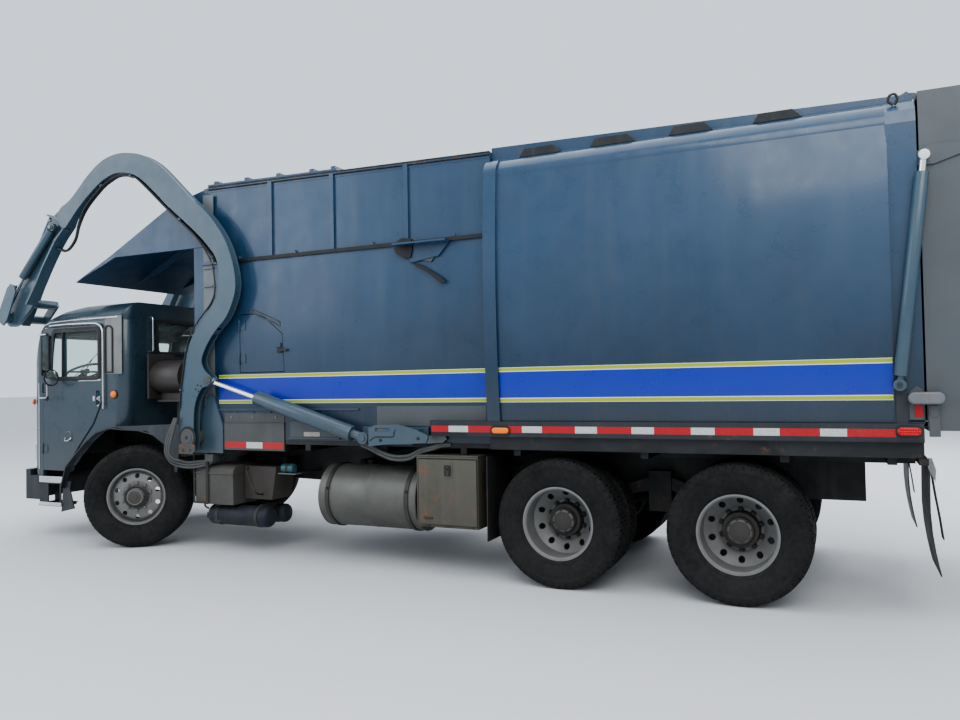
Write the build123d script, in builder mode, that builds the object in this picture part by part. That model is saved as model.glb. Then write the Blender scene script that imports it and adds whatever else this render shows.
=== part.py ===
from build123d import *
import os
from math import atan2, cos, degrees, hypot, radians, sin

# Front-loading refuse truck, cab over engine, three axles.
# Millimetres. +Z up, ground at z = 0, the truck faces -Y, its left side is +X.
# Lengths along the truck are given from the steered wheel's mark and moved by
# Y0, so that the origin lies under the middle of the truck.
os.makedirs("parts", exist_ok=True)

Y0 = -3095.0                 # moves the lengths below into the part's frame

# ---- driving dimensions -----------------------------------------------------
FRONT_AXLE_Y = -190.0        # kingpin line
KINGPIN_X = 900.0
STEER_REST = 32.0            # the front wheels stand steered to the left
FRONT_R, FRONT_W = 536.0, 386.0
REAR_R, REAR_W = 525.0, 279.0
REAR_AXLES_Y = (4680.0, 6070.0)
DUAL_X = (765.0, 1095.0)     # centre planes of the inner and outer rear tyre
RAIL_X, RAIL_TOP, RAIL_BOTTOM = 432.0, 1000.0, 700.0
CAB_HALF = 1050.0
CAB_WALL = 40.0
HOPPER_HALF = 1105.0
BODY_HALF = 1205.0           # at the sill and at the roof edge
BODY_BULGE = 1250.0          # half width at mid height
WALL = 25.0
HOPPER_FRONT_Y = 870.0
POST_Y = (4090.0, 4205.0)
BODY_REAR_Y = 7300.0
REAR_POST_Y = 7113.0         # front edge of the rear ring post
FLOOR_Z = (1110.0, 1150.0)
ARM_X = 1222.0               # middle plane of the lift arms
ARM_HALF = 45.0
ARM_PIVOT = (797.0, 1173.0)  # y, z
FORK_PIVOT = (-2005.0, 2520.0)
LUG_PIN = (1062.0, 1737.0)
LIFT_BASE = (2865.0, 1195.0)
FORK_BASE = (-1215.0, 3500.0)
FORK_CRANK = (-1850.0, 2835.0)
TAIL_HINGE = (7285.0, 3705.0)
TAIL_BASE = (7150.0, 1611.0)
TAIL_EYE = (7335.0, 3140.0)


def yy(y):
    return y + Y0


def side(points, x):
    """Closed outline of (y, z) points in the plane at x."""
    with BuildSketch(Plane.YZ.offset(x)) as face:
        with BuildLine():
            Polyline(*[(y + Y0, z) for y, z in points], close=True)
        make_face()
    return face.sketch


def front(points, y):
    """Closed outline of (x, z) points in the plane at y, facing -Y."""
    with BuildSketch(Plane.XZ.offset(-(y + Y0))) as face:
        with BuildLine():
            Polyline(*points, close=True)
        make_face()
    return face.sketch


def plan(points, z):
    """Closed outline of (x, y) points in the plane at z."""
    with BuildSketch(Plane.XY.offset(z)) as face:
        with BuildLine():
            Polyline(*[(x, y + Y0) for x, y in points], close=True)
        make_face()
    return face.sketch


def block(x, y, z, mode=Mode.ADD):
    """Box between the low and high x, y and z."""
    with Locations(((x[0] + x[1]) / 2, (y[0] + y[1]) / 2 + Y0, (z[0] + z[1]) / 2)):
        Box(x[1] - x[0], y[1] - y[0], z[1] - z[0], mode=mode)


def blocks(x, y, z, mode=Mode.ADD):
    """The same box on the left and on the right side."""
    block(x, y, z, mode)
    block((-x[1], -x[0]), y, z, mode)


def prisms(points, x0, x1, mode=Mode.ADD):
    """A side outline extruded from x0 to x1 on the left and on the right."""
    extrude(side(points, x0), amount=x1 - x0, mode=mode)
    extrude(side(points, -x1), amount=x1 - x0, mode=mode)


def rod_x(r, x0, x1, y, z, mode=Mode.ADD):
    """Round bar along X."""
    with Locations(Location(((x0 + x1) / 2, y + Y0, z), (0, 90, 0))):
        Cylinder(r, x1 - x0, mode=mode)


def rod_z(r, x, y, z0, z1, mode=Mode.ADD):
    with Locations((x, y + Y0, (z0 + z1) / 2)):
        Cylinder(r, z1 - z0, mode=mode)


def rod_to(r, a, b, x, mode=Mode.ADD):
    """Round bar in the plane at x between two (y, z) points."""
    length = hypot(b[0] - a[0], b[1] - a[1])
    lean = degrees(atan2(b[0] - a[0], b[1] - a[1]))
    mid = (x, (a[0] + b[0]) / 2 + Y0, (a[1] + b[1]) / 2)
    with Locations(Location(mid, (-lean, 0, 0))):
        Cylinder(r, length, mode=mode)


def between(a, b, t):
    """Point at the distance t from a towards b."""
    length = hypot(b[0] - a[0], b[1] - a[1])
    return (a[0] + (b[0] - a[0]) * t / length, a[1] + (b[1] - a[1]) * t / length)


def save(solid, name):
    solid.label = name
    export_step(solid, "parts/" + name + ".step")


# =============================================================================
# CHASSIS
# =============================================================================
RAIL_Y = (-1780.0, 6945.0)
CROSS_Y = (-1700.0, 950.0, 2150.0, 3300.0, 4150.0, 5375.0, 6560.0, 6890.0)
with BuildPart() as chassis_frame:
    # C-section rails, the web outside and the two flanges inwards
    blocks((RAIL_X - 10, RAIL_X), RAIL_Y, (RAIL_BOTTOM, RAIL_TOP))
    for z in ((RAIL_BOTTOM, RAIL_BOTTOM + 12), (RAIL_TOP - 12, RAIL_TOP)):
        blocks((RAIL_X - 90, RAIL_X), RAIL_Y, z)
    # cross members, each bolted between the webs
    for y in CROSS_Y:
        block((-RAIL_X + 11, RAIL_X - 11), (y - 8, y + 8), (845, 985))
        block((-RAIL_X + 11, RAIL_X - 11), (y - 45, y + 45), (845, 857))
    # outriggers for the tanks and boxes beside the rails
    for y in (900.0, 1500.0, 2460.0, 3215.0, 3500.0, 3900.0):
        blocks((RAIL_X + 1, 640), (y - 30, y + 30), (870, 930))
save(chassis_frame.part, "chassis_frame")

# engine and gearbox as one plain block, propeller shafts behind it
with BuildPart() as power_train:
    block((-325, 325), (-1330, -410), (575, 1340))
    block((-230, 230), (-415, 640), (600, 840))
    rod_to(55, (630, 700), (REAR_AXLES_Y[0] - 335, 600), 0)
    rod_to(50, (REAR_AXLES_Y[0] + 235, 600), (REAR_AXLES_Y[1] - 335, 600), 0)
save(power_train.part, "power_train")

# front bumper: a box beam bent back at its ends, with two tow eyes below it
with BuildPart() as front_bumper:
    extrude(plan([(-990, -1975), (990, -1975), (1058, -1935), (1058, -1700), (1000, -1700),
                  (1000, -1880), (-1000, -1880), (-1000, -1700), (-1058, -1700), (-1058, -1935)], 410),
            amount=345)
    blocks((985, 1070), (-1856, -1690), (686, 760), Mode.SUBTRACT)
    blocks((380, 430), (-1885, -1700), (640, 688))
    blocks((380, 430), (-1779, -1700), (640, 699))
    for s in (1, -1):
        x0, x1 = sorted((s * 400, s * 430))
        extrude(side([(-2035, 470), (-2035, 570), (-1960, 590), (-1960, 450)], x0), amount=30)
        rod_x(20, x0 - 5, x1 + 5, -2000, 520, Mode.SUBTRACT)
save(front_bumper.part, "front_bumper")

# =============================================================================
# CAB: the shell is the common part of three outlines, hollowed, then split
# =============================================================================
CAB_SIDE = [(-1850, 690), (-1850, 1730), (-1690, 2330), (-1560, 2475), (-1330, 2570), (-1080, 2625),
            (-700, 2645), (-330, 2640), (-330, 1240), (-480, 1255), (-680, 1205), (-840, 1105),
            (-1040, 935), (-1160, 815), (-1235, 690)]
IN = CAB_WALL


def cab_solid(grow):
    """The cab's outer form, or its inner one when grow is negative."""
    half, top = CAB_HALF + grow, 2645 + grow
    with BuildPart() as form:
        with BuildSketch(Plane.YZ.offset(-half)):
            with BuildLine():
                Polyline(*[(y + Y0, z) for y, z in CAB_SIDE], close=True)
            make_face()
            if grow:
                offset(amount=grow, mode=Mode.REPLACE, kind=Kind.INTERSECTION)
        extrude(amount=2 * half)
        with BuildSketch(Plane.XZ.offset(-(0 + Y0))):
            with BuildLine():
                l1 = Line((-half, 600), (half, 600))
                l2 = Line((half, 600), (half, top - 240))
                a1 = ThreePointArc((half, top - 240), (half - 62, top - 78), (half - 260, top - 2))
                l3 = Line((half - 260, top - 2), (-half + 260, top - 2))
                a2 = ThreePointArc((-half + 260, top - 2), (-half + 62, top - 78), (-half, top - 240))
                l4 = Line((-half, top - 240), (-half, 600))
            make_face()
        extrude(amount=2600, mode=Mode.INTERSECT)
        with BuildSketch(Plane.XY.offset(500)):
            with Locations((0, yy(-1090))):
                RectangleRounded(2 * half, 1520 + 2 * grow, 140 + grow)
        extrude(amount=2400, mode=Mode.INTERSECT)
    return form.part


with BuildPart() as cab_form:
    add(cab_solid(0.0))
    add(cab_solid(-IN), mode=Mode.SUBTRACT)
    # open below the front panel and above the wheel: the floor is its own piece
    block((-1005, 1005), (-1805, -375), (600, 1340), Mode.SUBTRACT)
    # windscreen, two panes with a centre bar
    for s in (1, -1):
        x0, x1 = sorted((s * 28, s * 925))
        block((x0, x1), (-1950, -1600), (1775, 2290), Mode.SUBTRACT)
    block((-585, 585), (-450, -250), (2085, 2435), Mode.SUBTRACT)
CAB_SHELL = cab_form.part

DOOR = [(-1640, 752), (-1640, 2392), (-664, 2392), (-664, 1560), (-810, 1290), (-1020, 1060),
        (-1180, 860), (-1222, 752)]
DOOR_HOLE = [(-1646, 680), (-1646, 2398), (-658, 2398), (-658, 1556), (-804, 1285), (-1014, 1055),
             (-1174, 855), (-1222, 680)]
with BuildPart() as cab_walls:
    add(CAB_SHELL)
    prisms(DOOR_HOLE, 1000, 1060, Mode.SUBTRACT)
CAB_WALLS = cab_walls.part


def cut_out(shape, x, y, z):
    """The part of a shape inside a box."""
    with BuildPart() as piece:
        add(shape)
        block(x, y, z, Mode.INTERSECT)
    return piece.part


save(cut_out(CAB_WALLS, (-1100, 1100), (-1900, -1643), (600, 2440)), "cab_front_panel")
save(cut_out(CAB_WALLS, (-1100, 1100), (-1643, -300), (600, 2440)), "cab_rear_panel")
save(cut_out(CAB_WALLS, (-1100, 1100), (-1900, -300), (2440, 2700)), "cab_roof")

# floor with the engine tunnel and the platform under the seats
with BuildPart() as cab_floor:
    for x0, x1 in ((440, 1004), (-1004, -440)):
        extrude(side([(-1804, 930), (-1804, 955), (-1215, 955), (-1215, 1305), (-376, 1305), (-376, 1280),
                      (-1190, 1280), (-1190, 930)], x0), amount=x1 - x0)
    extrude(side([(-1804, 930), (-1804, 1420), (-376, 1420), (-376, 1280), (-395, 1280), (-395, 1402),
                  (-1785, 1402), (-1785, 930)], -455), amount=910)
    blocks((440, 455), (-1804, -376), (1280, 1420))
    blocks((440, 455), (-1804, -1190), (930, 1290))
save(cab_floor.part, "cab_floor")

# glass: two flat panes in front, one pane behind
with BuildPart() as cab_glass:
    for s in (1, -1):
        x0, x1 = sorted((s * 30, s * 923))
        extrude(side([(-1828, 1777), (-1820, 1777), (-1684, 2288), (-1692, 2288)], x0), amount=x1 - x0)
    block((-584, 584), (-354, -348), (2086, 2434))
save(cab_glass.part, "cab_glass")

# dashboard, column and steering wheel, its plane tilted towards the driver
WHEEL_C = (640.0, yy(-1455.0), 1885.0)
with BuildPart() as dashboard:
    extrude(side([(-1790, 1440), (-1790, 1745), (-1640, 1745), (-1500, 1640), (-1500, 1520), (-1640, 1440)], -920),
            amount=1840)
    rod_to(32, (-1600, 1560), (-1455, 1885), 640)
    with Locations(Location(WHEEL_C, (24, 0, 0))):
        Torus(218, 14)
        Cylinder(52, 30)
        Box(420, 26, 12)
        with Locations((0, -110, 0)):
            Box(26, 205, 12)
save(dashboard.part, "dashboard")

# seats: plain closed forms of cushion and back, their pedestals apart
with BuildPart() as seat_cushions:
    for x in (640.0, -640.0):
        block((x - 245, x + 245), (-1060, -560), (1480, 1600))
        extrude(side([(-640, 1610), (-560, 1610), (-470, 2180), (-560, 2190)], x - 235), amount=470)
save(seat_cushions.part, "seat_cushions")
with BuildPart() as seat_bases:
    for x in (640.0, -640.0):
        block((x - 175, x + 175), (-1000, -600), (1306, 1440))
        block((x - 225, x + 225), (-1040, -545), (1440, 1478))
        extrude(side([(-556, 1440), (-545, 1440), (-545, 1605), (-459, 2150), (-469, 2150), (-556, 1605)], x - 200),
                amount=400)
save(seat_bases.part, "seat_bases")

# mirrors carried by the doors: a tall flat head on two bent arms, with a round one beside its foot
MIRROR_Y = (-1450.0, -1425.0)
for tag, s in (("left", 1), ("right", -1)):
    with BuildPart() as mirror_head:
        block(sorted((s * 1100, s * 1228)), MIRROR_Y, (1835, 2300))
        with Locations(Location((s * 1170, yy(-1353), 1815), (90, 0, 0))):
            Cylinder(95, 26)
        block(sorted((s * 1154, s * 1186)), (-1430, -1360), (1850, 1866))
        # upper and lower arm, each from a foot on the door's front post
        for z in (2312, 1588):
            block(sorted((s * 1053, s * 1069)), (-1612, -1562), (z - 34, z + 26))
            block(sorted((s * 1060, s * 1162)), (-1594, -1578), (z - 8, z + 8))
            block(sorted((s * 1146, s * 1162)), (-1594, -1428), (z - 8, z + 8))
        block(sorted((s * 1146, s * 1162)), (-1444, -1428), (2290, 2318))
        block(sorted((s * 1146, s * 1162)), (-1444, -1428), (1582, 1840))
    save(mirror_head.part, "mirror_" + tag)

# boarding steps below the doors
with BuildPart() as cab_steps:
    for s in (1, -1):
        x0, x1 = sorted((s * 860, s * 1075))
        block((x0, x1), (-1690, -1300), (600, 625))
        block((x0, x1), (-1690, -1676), (600, 688))
        block((x0, x1), (-1312, -1300), (600, 688))
        block(sorted((s * 1067, s * 1075)), (-1690, -1300), (600, 688))
        # lower step hung on a wide front plate and a narrow rear strap
        block((x0, x1), (-1690, -1330), (345, 370))
        block(sorted((s * 1055, s * 1067)), (-1690, -1540), (345, 610))
        block(sorted((s * 1055, s * 1067)), (-1352, -1330), (345, 610))
        block(sorted((s * 860, s * 872)), (-1690, -1610), (345, 610))
        # hanger to the chassis rail
        block(sorted((s * 434, s * 875)), (-1620, -1560), (625, 690))
        block(sorted((s * 434, s * 446)), (-1620, -1560), (625, 760))
save(cab_steps.part, "cab_steps")

# wheel arch sheets: outside lip ahead of the wheel and mud guard behind it
ARCH = [(-1262, 560), (-1175, 800), (-1052, 920), (-850, 1090), (-690, 1192), (-486, 1243), (-322, 1228),
        (-60, 1222), (160, 1180), (330, 1080), (440, 940), (470, 800)]
with BuildPart() as front_fenders:
    rim_in = [(y, z) for y, z in ARCH]
    rim_out = [(-1278, 555), (-1186, 812), (-1060, 932), (-856, 1102), (-693, 1205), (-486, 1256), (-322, 1241),
               (-55, 1235), (168, 1192), (342, 1089), (453, 945), (484, 800)]
    for x0, x1 in ((700, 1125), (-1125, -700)):
        extrude(side([(-322, 1228), (-60, 1222), (160, 1180), (330, 1080), (440, 940), (470, 800), (484, 800),
                      (453, 945), (342, 1089), (168, 1192), (-55, 1235), (-322, 1241)], x0), amount=x1 - x0)
    for x0, x1 in ((1052, 1125), (-1125, -1052)):
        extrude(side(rim_in + rim_out[::-1], x0), amount=x1 - x0)
    # slate guard plates beside the arch, above the sweep of the steered wheel
    prisms([(-418, 1266), (-418, 1262), (-150, 1226), (60, 1224), (165, 1186), (338, 1084), (448, 942), (478, 800),
            (500, 800), (548, 1120), (534, 1301)], 1100, 1124)
    # side flap below the arch's front end
    prisms([(-1262, 590), (-1252, 560), (-1180, 560), (-1105, 335), (-1318, 288), (-1285, 560)], 1060, 1072)
    prisms([(-1285, 545), (-1180, 545), (-1160, 640), (-1255, 640)], 1060, 1072)
    # braces to the chassis
    blocks((434, 705), (280, 320), (960, 990))
    blocks((700, 712), (270, 330), (960, 1130))
save(front_fenders.part, "front_fenders")

# =============================================================================
# AXLES AND SUSPENSION
# =============================================================================
KZ = FRONT_R                 # height of the wheel centre
with BuildPart() as axles:
    with BuildSketch(Plane.XZ.offset(-(FRONT_AXLE_Y + Y0) - 42)):
        with BuildLine():
            Polyline((-880, 500), (-600, 400), (600, 400), (880, 500), (880, 572), (560, 500), (-560, 500),
                     (-880, 572), close=True)
        make_face()
    extrude(amount=84)
    for s in (1, -1):
        rod_z(50, s * KINGPIN_X, FRONT_AXLE_Y, 486, 586)
        rod_z(30.3, s * KINGPIN_X, FRONT_AXLE_Y, 400, 700, Mode.SUBTRACT)
    for y in REAR_AXLES_Y:
        rod_x(70, -600, 600, y, REAR_R)
        rod_x(215, -110, 110, y, REAR_R)
        rod_x(52, -1040, 1040, y, REAR_R)
        with Locations(Location((0, yy(y - 170), 570), (90, 0, 0))):
            Cylinder(110, 320)
        with Locations(Location((0, yy(y + 130), 590), (90, 0, 0))):
            Cylinder(70, 200)
save(axles.part, "axles")

SPRING = [(-790, 640), (-520, 560), (-190, 505), (140, 560), (410, 640)]
with BuildPart() as leaf_springs:
    # front packs on the beam, hangers at both ends
    top = [(y, z + 58) for y, z in SPRING]
    for x0 in (348, -432):
        extrude(side(SPRING + top[::-1], x0), amount=84)
        for y in (-800, 360):
            block((x0, x0 + 84), (y, y + 70), (640, 699))
        block((x0, x0 + 84), (-260, -120), (501, 620))
    # rear packs outside the rails, from one axle to the other
    for x0 in (452, -542):
        extrude(side([(4600, 598), (4760, 598), (5375, 760), (5990, 598), (6150, 598), (6150, 640), (5990, 650),
                      (5600, 800), (5375, 880), (5150, 800), (4760, 650), (4600, 640)], x0), amount=90)
    for s in (1, -1):
        block(sorted((s * 433, s * 560)), (5280, 5470), (560, 900))
save(leaf_springs.part, "leaf_springs")

# =============================================================================
# WHEELS: sections are (distance along the axle from the wheel's own plane, radius)
# =============================================================================


def ring(section, centre, turn):
    """Section turned about the wheel's axle; +distance is outboard."""
    with BuildPart() as body:
        with BuildSketch(Plane.XZ):
            with BuildLine():
                Polyline(*section, close=True)
            make_face()
        revolve(axis=Axis.X)
    return body.part.moved(Location(centre, (0, 0, turn)))


def tyre_section(radius, width, at):
    h = width / 2
    return [(at - h * 0.62, 287), (at - h * 0.97, 360), (at - h, 0.42 * 287 + 0.58 * radius - 20),
            (at - h * 0.95, radius - 45), (at - h * 0.78, radius), (at + h * 0.78, radius),
            (at + h * 0.95, radius - 45), (at + h, 0.42 * 287 + 0.58 * radius - 20),
            (at + h * 0.97, 360), (at + h * 0.62, 287)]


def rim_section(at, half, disc):
    """Rim between -half and +half, its disc joined at the place `disc`."""
    return [(at - half, 284), (at - half, 298), (at - half + 10, 298), (at - half + 16, 286),
            (at + half - 16, 286), (at + half - 10, 298), (at + half, 298), (at + half, 284),
            (at + half - 14, 272), (at - half + 14, 272)]


FRONT_AT = 190.0             # tyre's middle plane from the kingpin
for tag, s in (("left", 1), ("right", -1)):
    turn = STEER_REST if s > 0 else 180 + STEER_REST
    pin = (s * KINGPIN_X, yy(FRONT_AXLE_Y), KZ)
    save(ring(tyre_section(FRONT_R, FRONT_W, FRONT_AT), pin, turn), "front_tyre_" + tag)
    with BuildPart() as rim:
        with BuildSketch(Plane.XZ):
            with BuildLine():
                Polyline(*rim_section(FRONT_AT, 160, 0), close=True)
            make_face()
            with BuildLine():
                # disc, hub and brake drum round the spindle
                Polyline((262, 275), (300, 235), (318, 165), (312, 125), (352, 120), (356, 92), (402, 80),
                         (402, 0), (338, 0), (338, 42.5), (236, 42.5), (236, 205), (88, 205), (88, 192),
                         (222, 192), (222, 42.5), (120, 42.5), (120, 60), (236, 60), (236, 110), (300, 125),
                         (304, 165), (288, 228), (248, 268), (240, 275), close=True)
            make_face()
        revolve(axis=Axis.X)
        with Locations(Location((290, 0, 0), (0, 90, 0))):
            with PolarLocations(215, 10):
                Cylinder(24, 90, mode=Mode.SUBTRACT)
    save(rim.part.moved(Location(pin, (0, 0, turn))), "front_rim_" + tag)
    # knuckle: fork over the axle eye, kingpin, back plate and spindle
    with BuildPart() as knuckle:
        with Locations((0, 0, 622 - KZ)):
            Cylinder(52, 50)
        with Locations((0, 0, 450 - KZ)):
            Cylinder(52, 50)
        with Locations((0, 0, 0)):
            Cylinder(30, 200)
        with Locations((38, 0, 622 - KZ)):
            Box(76, 84, 50)
        with Locations((38, 0, 450 - KZ)):
            Box(76, 84, 50)
        with Locations((70, 0, 0)):
            Box(20, 120, 222)
        with Locations(Location((200, 0, 0), (0, 90, 0))):
            Cylinder(40, 262)
        with Locations(Location((100, 0, 0), (0, 90, 0))):
            Cylinder(54, 36)
    save(knuckle.part.moved(Location(pin, (0, 0, turn))), "steering_knuckle_" + tag)

DUAL_AT = (DUAL_X[0] - 930.0, DUAL_X[1] - 930.0)
for number, y in enumerate(REAR_AXLES_Y, 1):
    for tag, s in (("left", 1), ("right", -1)):
        hub = (s * 930.0, yy(y), REAR_R)
        turn = 0 if s > 0 else 180
        name = "%d_%s" % (number, tag)
        with BuildPart() as tyres:
            for at in DUAL_AT:
                with BuildSketch(Plane.XZ):
                    with BuildLine():
                        Polyline(*tyre_section(REAR_R, REAR_W, at), close=True)
                    make_face()
            revolve(axis=Axis.X)
        save(tyres.part.moved(Location(hub, (0, 0, turn))), "rear_tyres_" + name)
        with BuildPart() as rims:
            with BuildSketch(Plane.XZ):
                for at in DUAL_AT:
                    with BuildLine():
                        Polyline(*rim_section(at, 115, 0), close=True)
                    make_face()
                with BuildLine():
                    # both discs, drum and hub, bored for the spindle
                    Polyline((90, 275), (70, 275), (20, 215), (10, 175), (-10, 175), (-20, 215), (-70, 275),
                             (-90, 275), (-40, 205), (-40, 190), (-230, 190), (-230, 205), (-244, 205),
                             (-244, 54), (114, 54), (114, 0), (142, 0), (142, 78), (128, 92), (88, 98),
                             (84, 130), (12, 140), (12, 165), (38, 205), close=True)
                make_face()
            revolve(axis=Axis.X)
            with Locations(Location((45, 0, 0), (0, 90, 0))):
                with PolarLocations(225, 10):
                    Cylinder(25, 120, mode=Mode.SUBTRACT)
        save(rims.part.moved(Location(hub, (0, 0, turn))), "rear_rims_" + name)

# =============================================================================
# TANKS AND BOXES BESIDE THE RAILS
# =============================================================================
with BuildPart() as tanks:
    with Locations(Location((880, yy(2830), 630), (90, 0, 0))):
        Cylinder(298, 1040)
    for y in (2460, 3215):
        with Locations(Location((880, yy(y), 630), (90, 0, 0))):
            Cylinder(304, 46)
        block((600, 660), (y - 23, y + 23), (640, 868))
    # oil tank on the right side
    block((-1150, -645), (2320, 3360), (420, 1000))
    block((-1100, -700), (2400, 2700), (1000, 1030))
    with Locations((-900, yy(3050), 1015)):
        Cylinder(60, 40)
    # air reservoirs
    for x, y0, y1, r in ((960.0, 830.0, 1600.0, 105.0), (700.0, 830.0, 1600.0, 95.0), (-820.0, 900.0, 1700.0, 120.0)):
        z = 370.0 if x > 0 else 640.0
        with Locations(Location((x, yy((y0 + y1) / 2), z), (90, 0, 0))):
            Cylinder(r, y1 - y0)
    for y in (950, 1450):
        block((690, 970), (y, y + 30), (440, 487))
        block((-840, -642), (y + 50, y + 80), (740, 900))
save(tanks.part, "tanks")

# closed tool box with its door and latch, and the battery box
with BuildPart() as side_boxes:
    block((645, 1180), (3372, 3968), (425, 1045))
    block((1180, 1190), (3392, 3948), (445, 1028))
    block((1190, 1203), (3650, 3695), (800, 870))
    # battery box with a rounded lid, and a lower box set back behind it
    extrude(front([(640, 489), (1110, 489), (1110, 812), (1101, 846), (1074, 872), (1040, 883), (640, 883)], 1233),
            amount=498)
    block((640, 1116), (731, 1237), (792, 806))
    extrude(side([(1240, 535), (1590, 535), (1645, 872), (1240, 872)], 640), amount=310)
save(side_boxes.part, "side_boxes")

# air cleaner behind the cab, on a bracket from the chassis
with BuildPart() as intake_and_exhaust:
    with Locations(Location((640, yy(0), 1800), (90, 0, 0))):
        Cylinder(185, 420)
    block((455, 825), (-240, -215), (1560, 2060))
    block((600, 680), (-180, 180), (1540, 1625))
    block((560, 720), (-200, 200), (1520, 1545))
    block((434, 560), (-40, 40), (960, 1000))
    block((548, 590), (-40, 40), (960, 1530))
    # exhaust: muffler and stack behind the cab on the right side
    with Locations(Location((-620, yy(60), 1800), (0, 0, 0))):
        Cylinder(130, 900)
    rod_z(62, -620, 60, 2240, 2480)
    rod_z(62, -620, 60, 1010, 1360)
    block((-650, -434), (20, 100), (960, 1020))
save(intake_and_exhaust.part, "intake_and_exhaust")

# =============================================================================
# HOPPER AND BODY
# =============================================================================
SLOPE = 0.0205               # fall of the hopper's top edge to the rear


def top_z(y):
    return 3722.0 - (y - HOPPER_FRONT_Y) * SLOPE


HF, HR = HOPPER_FRONT_Y, POST_Y[0]
HATCH_END = 2520.0
# access door opening in the left side
ACCESS = [(1340, 2390), (1540, 2390), (1655, 2347), (1861, 2181), (1880, 1818), (1340, 1818)]
ACCESS_HOLE = [(1334, 2396), (1541, 2396), (1658, 2353), (1867, 2184), (1886, 1812), (1334, 1812)]
ACCESS_AXIS = (1114.0, 1336.0)   # x, y of the door's hinge line
with BuildPart() as hopper_sides:
    # lower wall, set-back upper wall, ledge between them, posts, top rail
    prisms([(HF, 1151), (HR, 1151), (HR, 2950), (HF, 2950)], HOPPER_HALF - WALL, HOPPER_HALF)
    prisms([(HF, 2925), (HR, 2925), (HR, 2955), (HF, 2955)], HOPPER_HALF - 60, HOPPER_HALF + 22)
    prisms([(HF, 2950), (HR, 2950), (HR, top_z(HR)), (HF, top_z(HF))], HOPPER_HALF - 50, HOPPER_HALF - 25)
    for y in (1725.0, 2455.0, 3260.0):
        prisms([(y - 24, 2955), (y + 24, 2955), (y + 24, top_z(y) - 8), (y - 24, top_z(y) - 8)],
               HOPPER_HALF - 26, HOPPER_HALF - 4)
    prisms([(HF + 40, top_z(HF) - 45), (HR, top_z(HR) - 45), (HR, top_z(HR) + 12), (HF + 40, top_z(HF) + 12)],
           HOPPER_HALF - 95, HOPPER_HALF - 22)
    prisms([(HF, 1151), (HF + 45, 1151), (HF + 45, top_z(HF)), (HF, top_z(HF))], HOPPER_HALF - 60, HOPPER_HALF - 20)
    extrude(side(ACCESS_HOLE, HOPPER_HALF - 70), amount=90, mode=Mode.SUBTRACT)
    # work lamp bracket under the ledge on the left side
    extrude(side([(3190, 2930), (3720, 2930), (3600, 2800), (3330, 2760), (3250, 2860)], HOPPER_HALF - 5), amount=30)
    extrude(side([(3190, 2928), (3720, 2928), (3720, 2912), (3190, 2912)], HOPPER_HALF - 5), amount=135)
save(hopper_sides.part, "hopper_sides")

with BuildPart() as hopper_access_door:
    extrude(side(ACCESS, HOPPER_HALF - 24), amount=22)
    block((HOPPER_HALF - 4, HOPPER_HALF + 12), (1790, 1850), (2055, 2095))
    for z in (1900, 2230):
        rod_z(8, ACCESS_AXIS[0], ACCESS_AXIS[1], z, z + 110)
        block((1102, 1109), (1338, 1410), (z + 10, z + 100))
save(hopper_access_door.part, "hopper_access_door")

# front wall and the fixed top behind the hatch
with BuildPart() as hopper_ends:
    block((-1044, 1044), (HF, HF + 20), (1151, 3200))
    for z in (1500, 2100, 2700):
        block((-1044, 1044), (HF + 18, HF + 60), (z, z + 60))
    block((-1044, 1044), (HF, HF + 90), (3120, 3200))
    extrude(side([(HATCH_END, top_z(HATCH_END) - 45), (HR, top_z(HR) - 45), (HR, top_z(HR) - 20),
                  (HATCH_END, top_z(HATCH_END) - 20)], -1009), amount=2018)
    block((-1009, 1009), (HATCH_END, HATCH_END + 40), (top_z(HATCH_END) - 130, top_z(HATCH_END) - 22))
    blocks((1000, 1085), (HF - 150, HF - 1), (1250, 3118))
save(hopper_ends.part, "hopper_ends")

# cab shield in front of the hopper
CAN_TOP = [(-1040, 2892), (-480, 3150), (410, 3602), (HF - 1, 3712)]
with BuildPart() as cab_shield:
    extrude(side(CAN_TOP + [(HF - 1, 3698), (412, 3590), (-476, 3138), (-1034, 2881)], -1085), amount=2170)
    prisms(CAN_TOP + [(HF - 1, 3120), (-420, 3120), (-640, 3035)], 1073, 1085)
    block((-1073, 1073), (HF - 50, HF - 1), (3650, 3690))
    for x in (-360.0, 360.0):
        extrude(side([(-900, 2940), (-480, 3140), (410, 3592), (HF - 1, 3700), (HF - 1, 3560), (410, 3500),
                      (-480, 3060)], x - 6), amount=12)
save(cab_shield.part, "cab_shield")

# sliding hatch over the hopper's mouth
HATCH = (HF + 45, HATCH_END - 15)
with BuildPart() as hopper_hatch:
    extrude(side([(HATCH[0], top_z(HATCH[0]) + 18), (HATCH[1], top_z(HATCH[1]) + 18),
                  (HATCH[1], top_z(HATCH[1]) + 38), (HATCH[0], top_z(HATCH[0]) + 38)], -1083), amount=2166)
    for y in (1000.0, 1400.0, 1800.0, 2200.0, 2450.0):
        extrude(side([(y - 25, top_z(y) + 37), (y + 25, top_z(y) + 37), (y + 25, top_z(y) + 72),
                      (y - 25, top_z(y) + 72)], -1060), amount=2120)
save(hopper_hatch.part, "hopper_hatch")

# rear body: bowed sides with a rounded shoulder, raised roof, ring posts at both ends
SHOULDER_Z = 3400.0
TOPZ = 3560.0


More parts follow.
